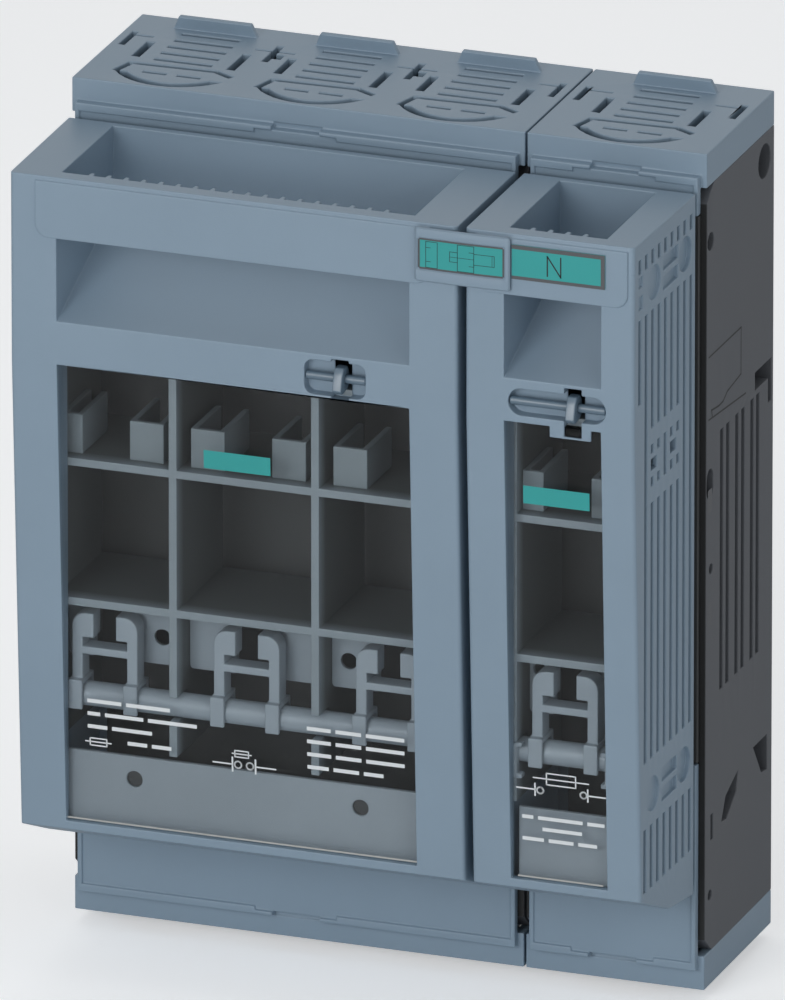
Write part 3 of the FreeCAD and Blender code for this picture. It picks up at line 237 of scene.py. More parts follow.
def rolledMetal(name, look):
    material, tree, shader = newMaterial(name)
    effect = effectNode(tree, brushGroup, {})
    darker = shaded(look["colour"], look["streakShade"])
    colour = mixColours(tree, effect["Streaks"], darker, look["colour"])
    tree.links.new(colour, shader.inputs["Base Color"])
    roughness = rangeNode(tree, effect["Streaks"], target=look["roughness"])
    tree.links.new(roughness, shader.inputs["Roughness"])
    shader.inputs["Metallic"].default_value = 1.0
    addBump(tree, shader, effect["Height"], look["bump"])
    return material


def printedInk(name, look):
    # screen print: an even film with a slightly mottled sheen
    material, tree, shader = newMaterial(name)
    effect = effectNode(tree, mouldGroup, look["texture"])
    darker = shaded(look["colour"], look["patchShade"])
    colour = mixColours(tree, effect["Patches"], darker, look["colour"])
    tree.links.new(colour, shader.inputs["Base Color"])
    roughness = rangeNode(tree, effect["Speckle"], target=look["roughness"])
    tree.links.new(roughness, shader.inputs["Roughness"])
    addBump(tree, shader, effect["Height"], look["bump"])
    return material


def smokedPane(name, look):
    # clear injection-moulded pane; lamps reach what is behind it
    material, tree, shader = newMaterial(name)
    effect = effectNode(tree, mouldGroup, look["texture"])
    darker = shaded(look["tint"], look["patchShade"])
    colour = mixColours(tree, effect["Patches"], darker, look["tint"])
    tree.links.new(colour, shader.inputs["Base Color"])
    for label, value in look["shader"].items():
        shader.inputs[label].default_value = value
    addBump(tree, shader, effect["Height"], look["bump"])
    clear = tree.nodes.new("ShaderNodeBsdfTransparent")
    clear.inputs["Color"].default_value = look["lampTint"]
    paths = tree.nodes.new("ShaderNodeLightPath")
    lampRay = mathNode(tree, "MAXIMUM", paths.outputs["Is Shadow Ray"], paths.outputs["Is Diffuse Ray"])
    # the pane's narrow edges stay clear, so that they don't bend what is behind them
    split = tree.nodes.new("ShaderNodeSeparateXYZ")
    tree.links.new(tree.nodes.new("ShaderNodeTexCoord").outputs["Normal"], split.inputs["Vector"])
    facing = mathNode(tree, "ABSOLUTE", split.outputs["Y"])
    edge = mathNode(tree, "LESS_THAN", facing, look["edgeFacing"])
    mix = tree.nodes.new("ShaderNodeMixShader")
    tree.links.new(mathNode(tree, "MAXIMUM", lampRay, edge), mix.inputs[0])
    tree.links.new(shader.outputs[0], mix.inputs[1])
    tree.links.new(clear.outputs[0], mix.inputs[2])
    tree.links.new(mix.outputs[0], tree.nodes["Material Output"].inputs["Surface"])
    return material


shellLook = {
    "colour": srgb(131, 151, 168),
    "roughness": (0.38, 0.47),
    "variation": 0.025,
    "texture": {"Grain Size": 0.00028, "Grain Depth": 1.0, "Wave Depth": 2.2},
    "bump": 0.000022,
}
housingLook = {
    "colour": srgb(80, 83, 88),
    "roughness": (0.54, 0.63),
    "variation": 0.06,
    "texture": {"Grain Size": 0.00022, "Grain Depth": 1.2, "Wave Depth": 1.0},
    "bump": 0.00004,
    "speckle": 0.10,
    "fleckShade": 1.9,
    # painted shadow: the base's front edge, in the gap beside the carriers, turns near black
    "paintedDepthShade": srgb(9, 11, 13),
    "shadeDepths": (-44.1, -44.3),
}
insideLook = {  # what the light grey mouldings have in common
    "roughness": (0.46, 0.55),
    "variation": 0.03,
    "texture": {"Grain Size": 0.0003, "Grain Depth": 0.8, "Wave Depth": 1.5},
    "bump": 0.00002,
}
innerLook = {
    **insideLook,
    "colour": srgb(143, 154, 161),
    # painted shade: the trays darken the deeper they lie behind the windows
    "paintedDepthShade": srgb(84, 90, 91),
    "shadeDepths": (-78.6, -74.5),
}
lockLook = {
    "colour": srgb(92, 112, 128),
    "roughness": (0.29, 0.38),
    "variation": 0.03,
    "texture": {"Grain Size": 0.0002, "Grain Depth": 0.4, "Wave Depth": 1.0},
    "bump": 0.00001,
    "specular": 0.7,
}
paneLook = {
    "tint": srgb(238, 240, 241),
    "lampTint": srgb(243, 245, 246),
    "patchShade": 0.97,
    "texture": {"Grain Size": 0.0008, "Grain Depth": 0.02, "Wave Depth": 1.0},
    "bump": 0.00002,
    "shader": {
        "Transmission Weight": 1.0,
        "IOR": 1.2,
        "Roughness": 0.02,
        "Coat Weight": 0.25,
        "Coat Roughness": 0.03,
    },
    "edgeFacing": 0.8,
}
metalLook = {"streakShade": 0.82, "bump": 0.00001}
inkLook = {
    "patchShade": 0.93,
    "texture": {"Grain Size": 0.00015, "Grain Depth": 0.6, "Wave Depth": 0.2},
    "bump": 0.000008,
}

shellPlastic = mouldedPlastic("shellPlastic", shellLook)
housingPlastic = mouldedPlastic("housingPlastic", housingLook)
innerPlastic = mouldedPlastic("innerPlastic", innerLook)
fittingPlastic = mouldedPlastic("fittingPlastic", {**insideLook, "colour": srgb(158, 169, 178)})
clipPlastic = mouldedPlastic("clipPlastic", {**insideLook, "colour": srgb(132, 143, 149)})
platePlastic = mouldedPlastic("platePlastic", {**insideLook, "colour": srgb(150, 160, 168)})
guardPlastic = mouldedPlastic("guardPlastic", {**insideLook, "colour": srgb(58, 60, 61)})
lockPlastic = mouldedPlastic("lockPlastic", lockLook)
paneMaterial = smokedPane("smokedPane", paneLook)


def plating(name, colour, roughness):
    return rolledMetal(name, {**metalLook, "colour": colour, "roughness": roughness})


def ink(name, colour, roughness):
    return printedInk(name, {**inkLook, "colour": colour, "roughness": roughness})


silverPlate = plating("silverPlate", srgb(214, 209, 200), (0.40, 0.24))
zincPlate = plating("zincPlate", srgb(190, 192, 194), (0.44, 0.28))
tealInk = ink("tealInk", srgb(44, 158, 156), (0.40, 0.53))
whiteInk = ink("whiteInk", srgb(226, 231, 234), (0.45, 0.58))
darkInk = ink("darkInk", srgb(82, 84, 88), (0.45, 0.58))
# a painted highlight along each pane's foot, made with the print look
sillHighlight = ink("sillHighlight", srgb(182, 183, 180), (0.35, 0.48))
blackInk = ink("blackInk", srgb(22, 24, 26), (0.55, 0.68))
print("materials made")


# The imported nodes: rounded edges and their finishes

weldDistance = 0.002


def makeEdgeGroup():
    # joins the split corners of the imported mesh and shades it smoothly, ready for rounding
    group = bpy.data.node_groups.new("weldedSmooth", "GeometryNodeTree")
    for direction in ("INPUT", "OUTPUT"):
        group.interface.new_socket(name="Geometry", in_out=direction, socket_type="NodeSocketGeometry")
    inside = group.nodes.new("NodeGroupInput")
    outside = group.nodes.new("NodeGroupOutput")
    weld = group.nodes.new("GeometryNodeMergeByDistance")
    weld.inputs["Distance"].default_value = weldDistance * mm
    shade = group.nodes.new("GeometryNodeSetShadeSmooth")
    group.links.new(inside.outputs[0], weld.inputs["Geometry"])
    group.links.new(weld.outputs["Geometry"], shade.inputs["Geometry"])
    group.links.new(shade.outputs["Geometry"], outside.inputs[0])
    return group


edgeGroup = makeEdgeGroup()


def evenNormals(thing):
    # flat faces stay flat, and the shading turns only in the rounded edges
    normals = thing.modifiers.new("evenNormals", "WEIGHTED_NORMAL")
    normals.keep_sharp = False


def roundEdges(thing, width):
    welded = thing.modifiers.new("welded", "NODES")
    welded.node_group = edgeGroup
    bevel = thing.modifiers.new("roundedEdges", "BEVEL")
    bevel.width = width * mm
    bevel.segments = 2
    bevel.limit_method = "ANGLE"
    bevel.angle_limit = sharpAngle
    bevel.use_clamp_overlap = False
    bevel.loop_slide = False
    evenNormals(thing)


finishes = [  # how the nodes' names start, their material, and how wide their edges are rounded
    (("base_",), housingPlastic, 0.22),
    (("top_cover_", "bottom_cover_"), shellPlastic, 0.28),
    (("carrier_",), shellPlastic, 0.25),
    (("link_clip",), shellPlastic, 0.3),
    (("window_",), paneMaterial, 0.08),
    (("fuse_tray_",), innerPlastic, 0.2),
    (("touch_guard_",), guardPlastic, 0.2),
    (("foot_hook_", "seat_bar_"), fittingPlastic, 0.3),
    (("upper_clips_",), clipPlastic, 0.25),
    (("lock_",), lockPlastic, 0.3),
    (("line_contact_", "load_contact_"), silverPlate, 0.3),
    (("jaw_springs_", "terminal_", "splitter_"), zincPlate, 0.15),
    (("pole_label_",), tealInk, 0.1),
]
for name, node in nodes.items():
    for starts, material, width in finishes:
        if name.startswith(starts):
            node.material_slots[0].material = material
            roundEdges(node, width)
            break
    else:
        raise ValueError("no finish for " + name)
print("packed nodes finished")


# Outlines in X and Z, or in Y and Z on the housing's side; a box is its left, right, foot and head

def rectangle(x1, x2, z1, z2):
    return [(x1, z1), (x2, z1), (x2, z2), (x1, z2)]


def roundedRectangle(x1, x2, z1, z2, radius, steps=6):
    left, right, low, high = x1 + radius, x2 - radius, z1 + radius, z2 - radius
    points = []
    for quarter, x, z in ((2, left, low), (3, right, low), (0, right, high), (1, left, high)):
        for step in range(steps + 1):
            turn = (quarter + step / steps) * math.pi / 2
            points.append((x + radius * math.cos(turn), z + radius * math.sin(turn)))
    return points


def circle(x, z, radius, sides=28):
    turns = [2 * math.pi * side / sides for side in range(sides)]
    return [(x + radius * math.cos(turn), z + radius * math.sin(turn)) for turn in turns]


def stroke(x1, z1, x2, z2, width):
    # a line with square ends, as print has it
    along = Vector((x2 - x1, z2 - z1)).normalized() * (width / 2)
    side = Vector((-along.y, along.x))
    start = Vector((x1, z1)) - along
    end = Vector((x2, z2)) + along
    return [tuple(start - side), tuple(end - side), tuple(end + side), tuple(start + side)]


def pathStrokes(points, width):
    return [stroke(*start, *end, width) for start, end in zip(points, points[1:])]


def frameStrokes(x1, x2, z1, z2, width):
    corners = rectangle(x1, x2, z1, z2)
    return pathStrokes([*corners, corners[0]], width)


def ringStrokes(x, z, radius, width, sides=14):
    points = circle(x, z, radius, sides)
    return pathStrokes([*points, points[0]], width)


# New pieces

towardsFront = Vector((0, -1, 0))
towardsRight = Vector((1, 0, 0))


def vertexAt(build, x, y, z):
    return build.verts.new((x * mm, y * mm, z * mm))


def placeInScene(name, data):
    thing = bpy.data.objects.new(name, data)
    bpy.context.scene.collection.objects.link(thing)
    return thing


def newPiece(name, mesh, material, body):
    thing = placeInScene(name, mesh)
    mesh.materials.append(material)
    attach(thing, body)
    return thing


def toMesh(build, name, smooth=True):
    mesh = bpy.data.meshes.new(name)
    build.to_mesh(mesh)
    build.free()
    for face in mesh.polygons:
        face.use_smooth = smooth
    return mesh


def flatPiece(name, outlines, material, body, facing=towardsFront):
    # a film of print: closed outlines of points in X, Y and Z
    build = bmesh.new()
    for outline in outlines:
        build.faces.new([vertexAt(build, *point) for point in outline])
    bmesh.ops.recalc_face_normals(build, faces=build.faces)
    for face in build.faces:
        if face.normal.dot(facing) < 0:
            face.normal_flip()
    newPiece(name, toMesh(build, name, smooth=False), material, body)


def thicken(build, front, back, bevel):
    # gives flat faces a thickness towards the back, and rounds the edges
    grown = bmesh.ops.extrude_face_region(build, geom=list(build.faces))
    moved = [item for item in grown["geom"] if isinstance(item, bmesh.types.BMVert)]
    bmesh.ops.translate(build, verts=moved, vec=(0, (back - front) * mm, 0))
    bmesh.ops.recalc_face_normals(build, faces=build.faces)
    sharp = [edge for edge in build.edges if edge.calc_face_angle(0) > sharpAngle]
    bmesh.ops.bevel(build, geom=sharp, offset=bevel * mm, segments=2, affect="EDGES", clamp_overlap=True)


def slab(outline, front, back, bevel, holes=()):
    # an outline made thick from a front to a back depth
    build = bmesh.new()
    edges = []
    for loop in (outline, *holes):
        ring = [vertexAt(build, x, front, z) for x, z in loop]
        edges += [build.edges.new((ring[index - 1], ring[index])) for index in range(len(ring))]
    bmesh.ops.triangle_fill(build, edges=edges, use_beauty=True)
    thicken(build, front, back, bevel)
    return build


def combined(builds):
    whole = bmesh.new()
    for build in builds:
        part = bpy.data.meshes.new("part")
        build.to_mesh(part)
        build.free()
        whole.from_mesh(part)
        bpy.data.meshes.remove(part)
    return whole


def solidPiece(name, builds, material, body):
    thing = newPiece(name, toMesh(combined(builds), name), material, body)
    evenNormals(thing)
    return thing


# Print on the windows: plain fields, rows of bars and wiring symbols

paneLean = {"front": -86.3, "recess": 0.8, "head": 46.3, "drop": 110.7, "lean": 5.1, "lift": 0.03}
panePrint = {
    "main": {
        "field": (-28.5, -12.9, 25.9, 30.2),
        "bars": (
            {"left": -57.0, "top": -32.7, "rows": [(8, 10.3), (3, 9, 11.5), (4.6, 9.4), (-8.2, 4.6, 4.6)]},
            {"left": -5.5, "top": -32.7, "rows": [(5.6, 6, 9), (5.6, 6, 9), (5.6, 6, 9), (5, 6, 4.6)]},
        ),
        "barHeight": 0.9,
        "barPitch": 3.05,
        "fuses": (
            {"box": (-56.5, -52.6, -43.75, -42.05), "lead": 1.0},
            {"box": (-22.5, -19.3, -42.15, -40.65), "lead": 0.6},
        ),
        "switch": {
            "ends": (-27.6, -13.0),
            "contacts": (-23.1, -17.7),
            "z": -44.0,
            "reach": 1.6,
            "contactWidth": 0.4,
            "rings": ((-21.8, -44.0), (-19.0, -44.0)),
            "ringRadius": 0.8,
        },
    },
    "neutral": {
        "field": (46.0, 61.4, 27.1, 31.3),
        "bars": ({"left": 44.6, "top": -47.0, "rows": [(2.6, 10.4, 4), (-3.6, 9.2), (5, 5.8, 4.4)]},),
        "barHeight": 0.85,
        "barPitch": 2.6,
        "fuses": ({"box": (50.4, 57.2, -39.25, -36.55), "lead": 3.0},),
        "switch": {
            "ends": (43.5, 64.1),
            "contacts": (47.7, 60.0),
            "z": -40.7,
            "reach": 1.4,
            "contactWidth": 0.35,
            "rings": ((48.9, -40.8), (59.0, -40.7)),
            "ringRadius": 0.75,
        },
    },
    "barGap": 1.1,
    "fuseWidth": 0.3,
    "switchWidth": 0.35,
}


def onPane(shape):
    # the windows lean back towards their heads
    points = []
    for x, z in shape:
        share = (paneLean["head"] - z) / paneLean["drop"]
        depth = paneLean["front"] + paneLean["recess"] + paneLean["lean"] * share - paneLean["lift"]
        points.append((x, depth, z))
    return points


def printBars(left, top, rows, height, pitch):
    # rows of plain bars; a negative length is a blank
    shapes = []
    for row, lengths in enumerate(rows):
        x = left
        z = top - row * pitch
        for length in lengths:
            if length > 0:
                shapes.append(rectangle(x, x + length, z - height, z))
            x += abs(length) + panePrint["barGap"]
    return shapes


def fuseSymbol(box, lead):
    x1, x2, z1, z2 = box
    middle = (z1 + z2) / 2
    width = panePrint["fuseWidth"]
    return [*frameStrokes(*box, width), stroke(x1 - lead, middle, x2 + lead, middle, width)]


def switchSymbol(look):
    width = panePrint["switchWidth"]
    z = look["z"]
    shapes = []
    for end, contact in zip(look["ends"], look["contacts"]):
        shapes.append(stroke(end, z, contact, z, width))
        shapes.append(stroke(contact, z - look["reach"], contact, z + look["reach"], look["contactWidth"]))
    for place in look["rings"]:
        shapes += ringStrokes(*place, look["ringRadius"], width)
    return shapes


def printPane(side):
    look = panePrint[side]
    body = "carrier_" + side
    flatPiece("print_field_" + side, [onPane(rectangle(*look["field"]))], tealInk, body)
    shapes = switchSymbol(look["switch"])
    for block in look["bars"]:
        shapes += printBars(**block, height=look["barHeight"], pitch=look["barPitch"])
    for fuse in look["fuses"]:
        shapes += fuseSymbol(**fuse)
    flatPiece("print_strokes_" + side, [onPane(shape) for shape in shapes], whiteInk, body)


for side in ("main", "neutral"):
    printPane(side)
print("window print made")


# Label plate of the neutral pole

labelLook = {
    "box": (44.1, 65.7, 79.9, 87.8),
    "depth": -87.23,
    "margin": 0.95,
    "footMargin": 0.76,
    "letter": (52.4, 55.5, 81.5, 86.0),
    "letterWidth": 0.3,
}


def onLabel(shapes):
    return [[(x, labelLook["depth"], z) for x, z in shape] for shape in shapes]


def printLabel():
    x1, x2, z1, z2 = labelLook["box"]
    innerX = x2 - labelLook["margin"]
    innerLow, innerHigh = z1 + labelLook["footMargin"], z2 - labelLook["margin"]
    border = [
        rectangle(x1, x2, innerHigh, z2),
        rectangle(x1, x2, z1, innerLow),
        rectangle(innerX, x2, innerLow, innerHigh),
    ]
    flatPiece("label_frame_neutral", onLabel(border), darkInk, "carrier_neutral")
    left, right, low, high = labelLook["letter"]
    points = [(left, low), (left, high), (right, low), (right, high)]
    letter = pathStrokes(points, labelLook["letterWidth"])
    flatPiece("label_letter_neutral", onLabel(letter), blackInk, "carrier_neutral")


# Clip between the carriers: a bowed frame round a plain field with a symbol of linked poles

clipFace = {
    "box": (21.8, 43.9, 77.0, 89.4),
    "front": -88.25,
    "back": -87.2,
    "margins": (0.75, 1.3, 2.8, 2.4),  # left, right, foot and head
    "edge": 0.3,
    "bow": 0.3,
    "columns": 24,
    "inset": 0.4,
    "film": 0.03,
    "fieldMargin": 0.45,
    "panelLap": 0.2,
    "panelGap": 0.05,
    "blocks": (  # the seat on the wide carrier and the foot between the carriers
        {"box": (21.8, 31.0, 77.6, 88.8), "back": -86.9, "bevel": 0.05},
        {"box": (31.35, 32.65, 77.9, 87.0), "back": -76.3, "bevel": 0.15},
    ),
    "blockLap": 0.05,
    "symbolBoxes": (
        (24.4, 27.1, 80.3, 86.3), (30.0, 31.8, 82.3, 84.6),
        (31.8, 35.6, 80.3, 86.4), (35.6, 40.3, 82.2, 84.7),
    ),
    "boxWidth": 0.12,
    "symbolLines": (  # from, to and width
        (24.4, 84.9, 35.6, 84.9, 0.12), (24.4, 81.7, 35.6, 81.7, 0.12),
        (39.8, 82.2, 39.8, 84.7, 0.1), (30.0, 83.4, 35.6, 83.4, 0.1),
    ),
}


def clipBow(x):
    # how far the face falls back from its middle line
    x1, x2 = clipFace["box"][:2]
    middle, half = (x1 + x2) / 2, (x2 - x1) / 2
    return clipFace["bow"] * ((x - middle) / half) ** 2


def clipOpening(inner=0.0):
    # sides and heights of the frame's opening, or of what lies this far inside it
    x1, x2, z1, z2 = clipFace["box"]
    left, right, foot, head = clipFace["margins"]
    return x1 + left + inner, x2 - right - inner, z1 + foot + inner, z2 - head - inner


def clipColumns(left, right):
    count = clipFace["columns"]
    return [left + (right - left) * step / count for step in range(count + 1)]


def clipFrame():
    look = clipFace
    x1, x2, z1, z2 = look["box"]
    left, right, low, high = clipOpening()
    build = bmesh.new()
    rows = (z1, low, high, z2)
    grid = [
        [vertexAt(build, x, look["front"], z) for z in rows]
        for x in (x1, *clipColumns(left, right), x2)
    ]
    lastColumn = len(grid) - 2
    for column, (near, far) in enumerate(zip(grid, grid[1:])):
        for row in range(3):
            if row == 1 and 0 < column < lastColumn:
                continue  # the opening
            build.faces.new((near[row], far[row], far[row + 1], near[row + 1]))
    thicken(build, look["front"], look["back"], look["edge"])
    thickness = (look["back"] - look["front"]) * mm
    for vertex in build.verts:
        share = (look["back"] * mm - vertex.co.y) / thickness
        vertex.co.y += clipBow(vertex.co.x / mm) * share * mm
    return build


def clipPanel():
    # the closed panel behind the field
    look = clipFace
    left, right, low, high = clipOpening(-look["panelLap"])
    build = bmesh.new()
    sections = []
    for x in clipColumns(left, right):
        front = look["front"] + look["inset"] + look["panelGap"] + clipBow(x)
        section = ((front, low), (front, high), (look["back"], high), (look["back"], low))
        sections.append([vertexAt(build, x, y, z) for y, z in section])
    for near, far in zip(sections, sections[1:]):
        for corner in range(4):
            build.faces.new((near[corner - 1], near[corner], far[corner], far[corner - 1]))
    build.faces.new(sections[0])
    build.faces.new(sections[-1])
    bmesh.ops.recalc_face_normals(build, faces=build.faces)
    return build


def clipField(name, inner, depth, material):
    # a plain field that follows the bow
    left, right, low, high = clipOpening(inner)
    build = bmesh.new()
    columns = []
    for x in clipColumns(left, right):
        y = clipFace["front"] + depth + clipBow(x)
        columns.append([vertexAt(build, x, y, z) for z in (low, high)])
    for near, far in zip(columns, columns[1:]):
        build.faces.new((near[0], far[0], far[1], near[1]))
    newPiece(name, toMesh(build, name), material, "carrier_main")


def clipSymbol(depth):
    shapes = [stroke(*line) for line in clipFace["symbolLines"]]
    for box in clipFace["symbolBoxes"]:
        shapes += frameStrokes(*box, clipFace["boxWidth"])
    outlines = [[(x, clipFace["front"] + depth + clipBow(x), z) for x, z in shape] for shape in shapes]
    flatPiece("link_symbol", outlines, blackInk, "carrier_main")


def addClip():
    look = clipFace
    builds = [clipFrame(), clipPanel()]
    for block in look["blocks"]:
        outline = rectangle(*block["box"])
        builds.append(slab(outline, look["back"] - look["blockLap"], block["back"], block["bevel"]))
    linkFrame = solidPiece("link_frame", builds, shellPlastic, "carrier_main")
    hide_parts("link_clip")
    clipField("link_border", 0.0, look["inset"], darkInk)
    clipField("link_field", look["fieldMargin"], look["inset"] - look["film"], tealInk)
    clipSymbol(look["inset"] - 2 * look["film"])


printLabel()
addClip()
print("label and clip made")


# Dark sheets of painted shade, which close the gap between the touch guards and the lower covers' panels

shadeSheetLook = {
    "main": (-65.5, 23.0),
    "neutral": (43.0, 63.5),
    "heights": (-58.8, -47.0),
    "front": -46.35,
    "back": -46.05,
    "bevel": 0.08,
}


def addShadeSheet(side):
    look = shadeSheetLook
    outline = rectangle(*look[side], *look["heights"])
    build = slab(outline, look["front"], look["back"], look["bevel"])
    solidPiece("shade_sheet_" + side, [build], guardPlastic, "base")


# Plates below the seat bars, the wide one with two round bores that have painted shade behind them, and a
# painted highlight line along each pane's foot

footPlates = {
    "main": (-65.1, 22.8),
    "neutral": (42.8, 63.7),
    "heights": (-65.4, -46.4),
    "front": -77.9,
    "back": -76.9,
    "bevel": 0.15,
    "bores": {"main": ((-47.3, -51.8), (5.7, -51.7)), "neutral": ()},
    "boreRadius": 1.9,
    "boreShade": {"lap": 0.4, "front": -76.95, "back": -76.3, "bevel": 0.1},  # painted shade: a dark disc behind each bore
    # painted highlight: a pale line along the pane's foot
    "sill": {"left": 0.6, "right": 0.4, "heights": (-61.95, -61.55)},
}


def addFootPlate(side):
    look = footPlates
    left, right = look[side]
    body = "carrier_" + side
    radius = look["boreRadius"]
    bores = [circle(*place, radius) for place in look["bores"][side]]
    plate = slab(rectangle(left, right, *look["heights"]), look["front"], look["back"], look["bevel"], bores)
    solidPiece("foot_plate_" + side, [plate], platePlastic, body)
    if bores:
        # painted shade: a dark disc behind each bore
        boreShade = look["boreShade"]
        boreShades = [
            slab(circle(*place, radius + boreShade["lap"]), boreShade["front"], boreShade["back"], boreShade["bevel"])
            for place in look["bores"][side]
        ]
        solidPiece("bore_shades_" + side, boreShades, guardPlastic, body)
    # painted highlight: a pale line on each pane's foot
    sill = look["sill"]
    line = rectangle(left + sill["left"], right - sill["right"], *sill["heights"])
    flatPiece("pane_sill_highlight_" + side, [onPane(line)], sillHighlight, body)


# Panels at the back of the trays' lower rooms, in pairs beside each hook, some with a round hole

trayPanels = {
    "front": -70.8,
    "back": -69.6,
    "heights": (-26.7, -12.4),
    "corner": 0.8,
    "bevel": 0.15,
    "poles": {
        "main": (
            {"centre": -54.45, "reach": ((-10.75, -4.5), (4.5, 15.6)), "hole": (11.2, -20.4, 1.95)},
            {"centre": -21.15, "reach": ((-15.6, -4.5), (4.5, 15.6)), "hole": None},
            {"centre": 12.15, "reach": ((-15.6, -4.5), (4.5, 10.75)), "hole": (-11.7, -20.4, 1.95)},
        ),
        "neutral": (
            {"centre": 53.25, "reach": ((-10.5, -4.5), (4.5, 10.5)), "hole": (-8.2, -16.6, 1.5)},
        ),
    },
}


def addTrayPanels(side):
    look = trayPanels
    builds = []
    for pole in look["poles"][side]:
        centre = pole["centre"]
        for left, right in pole["reach"]:
            outline = roundedRectangle(centre + left, centre + right, *look["heights"], look["corner"])
            holes = []
            if pole["hole"] and left < pole["hole"][0] < right:
                x, z, radius = pole["hole"]
                holes.append(circle(centre + x, z, radius))
            builds.append(slab(outline, look["front"], look["back"], look["bevel"], holes))
    solidPiece("tray_panels_" + side, builds, fittingPlastic, "carrier_" + side)


# Brackets at the ends of the neutral seat bar: an upright and two arms

bracketLook = {
    "sides": ((41.6, 43.9), (64.3, 62.3)),  # outer face and tips of the arms
    "heights": (-39.4, -31.0),
    "arm": 1.1,
    "front": -79.2,
    "back": -77.2,
    "bevel": 0.15,
}


def addBrackets():
    look = bracketLook
    low, high = look["heights"]
    arm = look["arm"]
    builds = []
    for outer, tip in look["sides"]:
        inner = outer + math.copysign(arm, tip - outer)
        outline = [
            (outer, low), (tip, low), (tip, low + arm), (inner, low + arm),
            (inner, high - arm), (tip, high - arm), (tip, high), (outer, high),
        ]
        builds.append(slab(outline, look["front"], look["back"], look["bevel"]))
    solidPiece("bar_brackets_neutral", builds, fittingPlastic, "carrier_neutral")


for addFitting in (addShadeSheet, addFootPlate, addTrayPanels):
    for side in ("main", "neutral"):
        addFitting(side)
addBrackets()
print("tray fittings made")


# Raised marking lines and two small pads on the right side of the neutral housing, in Y and Z

sideMarks = {
    "side": 74.15,
    "lineProud": 0.02,
    "lineWidth": 0.42,
    "lines": (
        (
            (-42.8, 50.1), (-21.6, 50.0), (-21.6, 39.1), (-30.6, 38.1),
            (-33.4, 36.7), (-36.2, 36.6), (-40.9, 37.2), (-40.5, 35.7),
        ),
        ((-42.8, 35.5), (-18.5, 33.5)),
    ),
    "padProud": 0.01,
    "padCorner": 0.6,
    "pads": ((-43.2, -40.4, 13.5, 19.0), (-43.2, -40.4, -13.2, -7.6)),
}


def onSide(name, shapes, proud, material):
    x = sideMarks["side"] + proud
    outlines = [[(x, y, z) for y, z in shape] for shape in shapes]
    flatPiece(name, outlines, material, "base", towardsRight)


def addSideMarks():
    look = sideMarks
    strokes = []
    for line in look["lines"]:
        strokes += pathStrokes(line, look["lineWidth"])
    onSide("side_marks", strokes, look["lineProud"], blackInk)
    pads = [roundedRectangle(*pad, look["padCorner"]) for pad in look["pads"]]
    onSide("side_pads", pads, look["padProud"], darkInk)


addSideMarks()
print("side marks made")


# Camera, light and floor

def lookAlong(thing, direction):
    thing.rotation_mode = "QUATERNION"
    thing.rotation_quaternion = direction.to_track_quat("-Z", "Y")


cameraPlace = {
    "azimuth": 20.0,
    "elevation": 20.26,
    "lens": 1200.0,
    "sensor": 36.0,
    "longSide": 1000,  # the photograph's height in pixels
    "pixelsPerMetre": 4537.5,
    "target": (0.0, -44.5, 0.0),
    "right": 0.90,
    "up": 7.58,
    "nearClip": 0.1,
}


def addCamera():
    look = cameraPlace
    turn, rise = math.radians(look["azimuth"]), math.radians(look["elevation"])
    back = Vector((math.sin(turn) * math.cos(rise), -math.cos(turn) * math.cos(rise), math.sin(rise)))
    right = Vector((math.cos(turn), math.sin(turn), 0))
    up = back.cross(right)
    data = bpy.data.cameras.new("camera")
    data.lens = look["lens"]
    data.sensor_width = look["sensor"]
    distance = look["lens"] / look["sensor"] * look["longSide"] / look["pixelsPerMetre"]
    camera = placeInScene("camera", data)
    target = Vector(look["target"]) + right * look["right"] + up * look["up"]
    camera.location = target * mm + back * distance
    lookAlong(camera, -back)
    data.clip_start = look["nearClip"]
    data.clip_end = distance * 3
    bpy.context.scene.camera = camera


lampTarget = Vector((0, -0.04, 0))
lamps = {  # in metres and watts
    "key": {"place": (-0.3, -1.5, 0.5), "size": 0.7, "power": 7.5},
    "front": {"place": (0.2, -1.5, -0.12), "size": 0.5, "power": 2.9},
    "fill": {"place": (1.1, -0.9, 0.35), "size": 1.0, "power": 2.4},
    "top": {"place": (0.0, 0.1, 1.4), "size": 1.2, "power": 2.4},
}


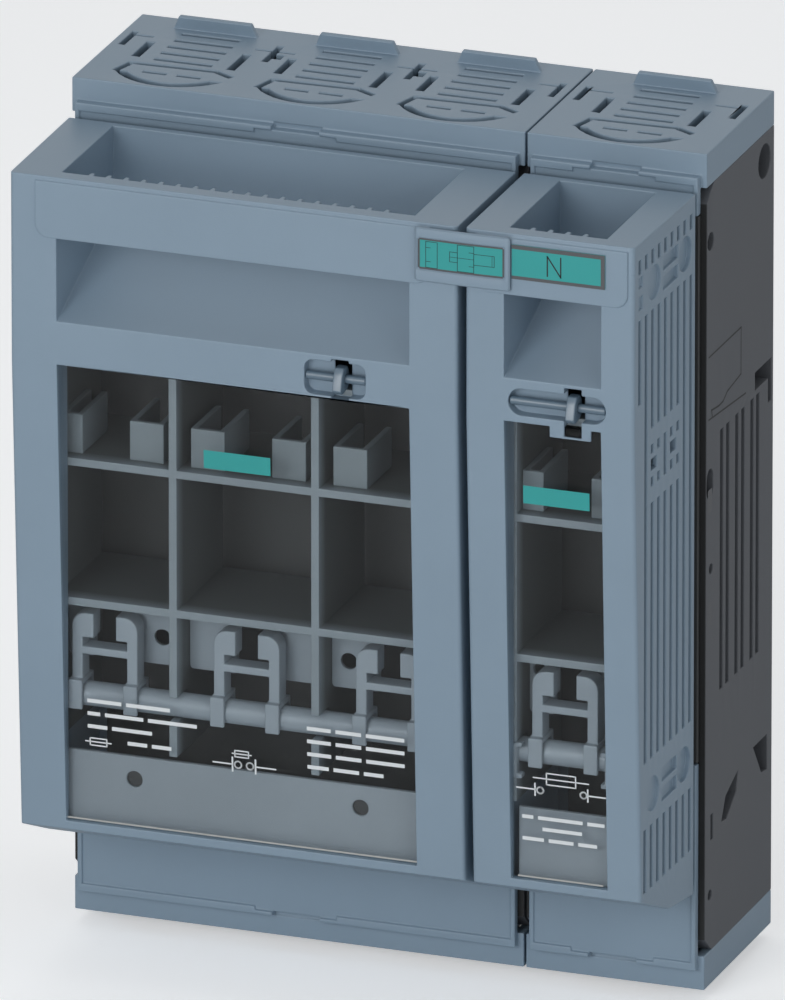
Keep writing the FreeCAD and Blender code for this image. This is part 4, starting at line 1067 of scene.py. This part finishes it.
def addLamps():
    for name, look in lamps.items():
        data = bpy.data.lights.new(name, "AREA")
        data.shape = "DISK"
        data.size = look["size"]
        data.energy = look["power"]
        lamp = placeInScene(name, data)
        lamp.location = look["place"]
        lookAlong(lamp, lampTarget - lamp.location)


worldLook = {"colour": srgb(247, 249, 251), "onObject": 0.32, "seen": 0.95}


def addWorld():
    world = bpy.data.worlds.new("studio")
    bpy.context.scene.world = world
    world.use_nodes = True
    tree = world.node_tree
    background = tree.nodes["Background"]
    paths = tree.nodes.new("ShaderNodeLightPath")
    seen = mathNode(tree, "MAXIMUM", paths.outputs["Is Camera Ray"], paths.outputs["Is Transmission Ray"])
    seen = mathNode(tree, "MAXIMUM", seen, paths.outputs["Is Glossy Ray"])
    strength = rangeNode(tree, seen, target=(worldLook["onObject"], worldLook["seen"]))
    tree.links.new(strength, background.inputs["Strength"])
    background.inputs["Color"].default_value = worldLook["colour"]


floorLook = {
    "halfSize": 1.6,
    "gap": 0.05,
    "colours": (srgb(236, 238, 240), srgb(241, 243, 245)),
    "cloudScale": 3.0,
    "roughness": 0.9,
    "lift": 0.42,
}


def addFloor():
    look = floorLook
    build = bmesh.new()
    bmesh.ops.create_grid(build, x_segments=1, y_segments=1, size=look["halfSize"])
    floor = placeInScene("floor", toMesh(build, "floor"))
    floor.location = (0, 0, cadBox[0][2] - look["gap"] * mm)
    material, tree, shader = newMaterial("floorPaint")
    cloud = noiseNode(tree, objectPlace(tree), {"Scale": look["cloudScale"]})
    tree.links.new(mixColours(tree, cloud, *look["colours"]), shader.inputs["Base Color"])
    shader.inputs["Roughness"].default_value = look["roughness"]
    # the paper lifts towards white where the camera sees it, and keeps the shadow
    shader.inputs["Emission Color"].default_value = srgb(255, 255, 255)
    paths = tree.nodes.new("ShaderNodeLightPath")
    lift = mathNode(tree, "MULTIPLY", paths.outputs["Is Camera Ray"], look["lift"])
    tree.links.new(lift, shader.inputs["Emission Strength"])
    floor.data.materials.append(material)


addCamera()
addLamps()
addWorld()
addFloor()
bpy.context.scene.view_settings.view_transform = "Standard"
print("camera, lamps and floor placed")
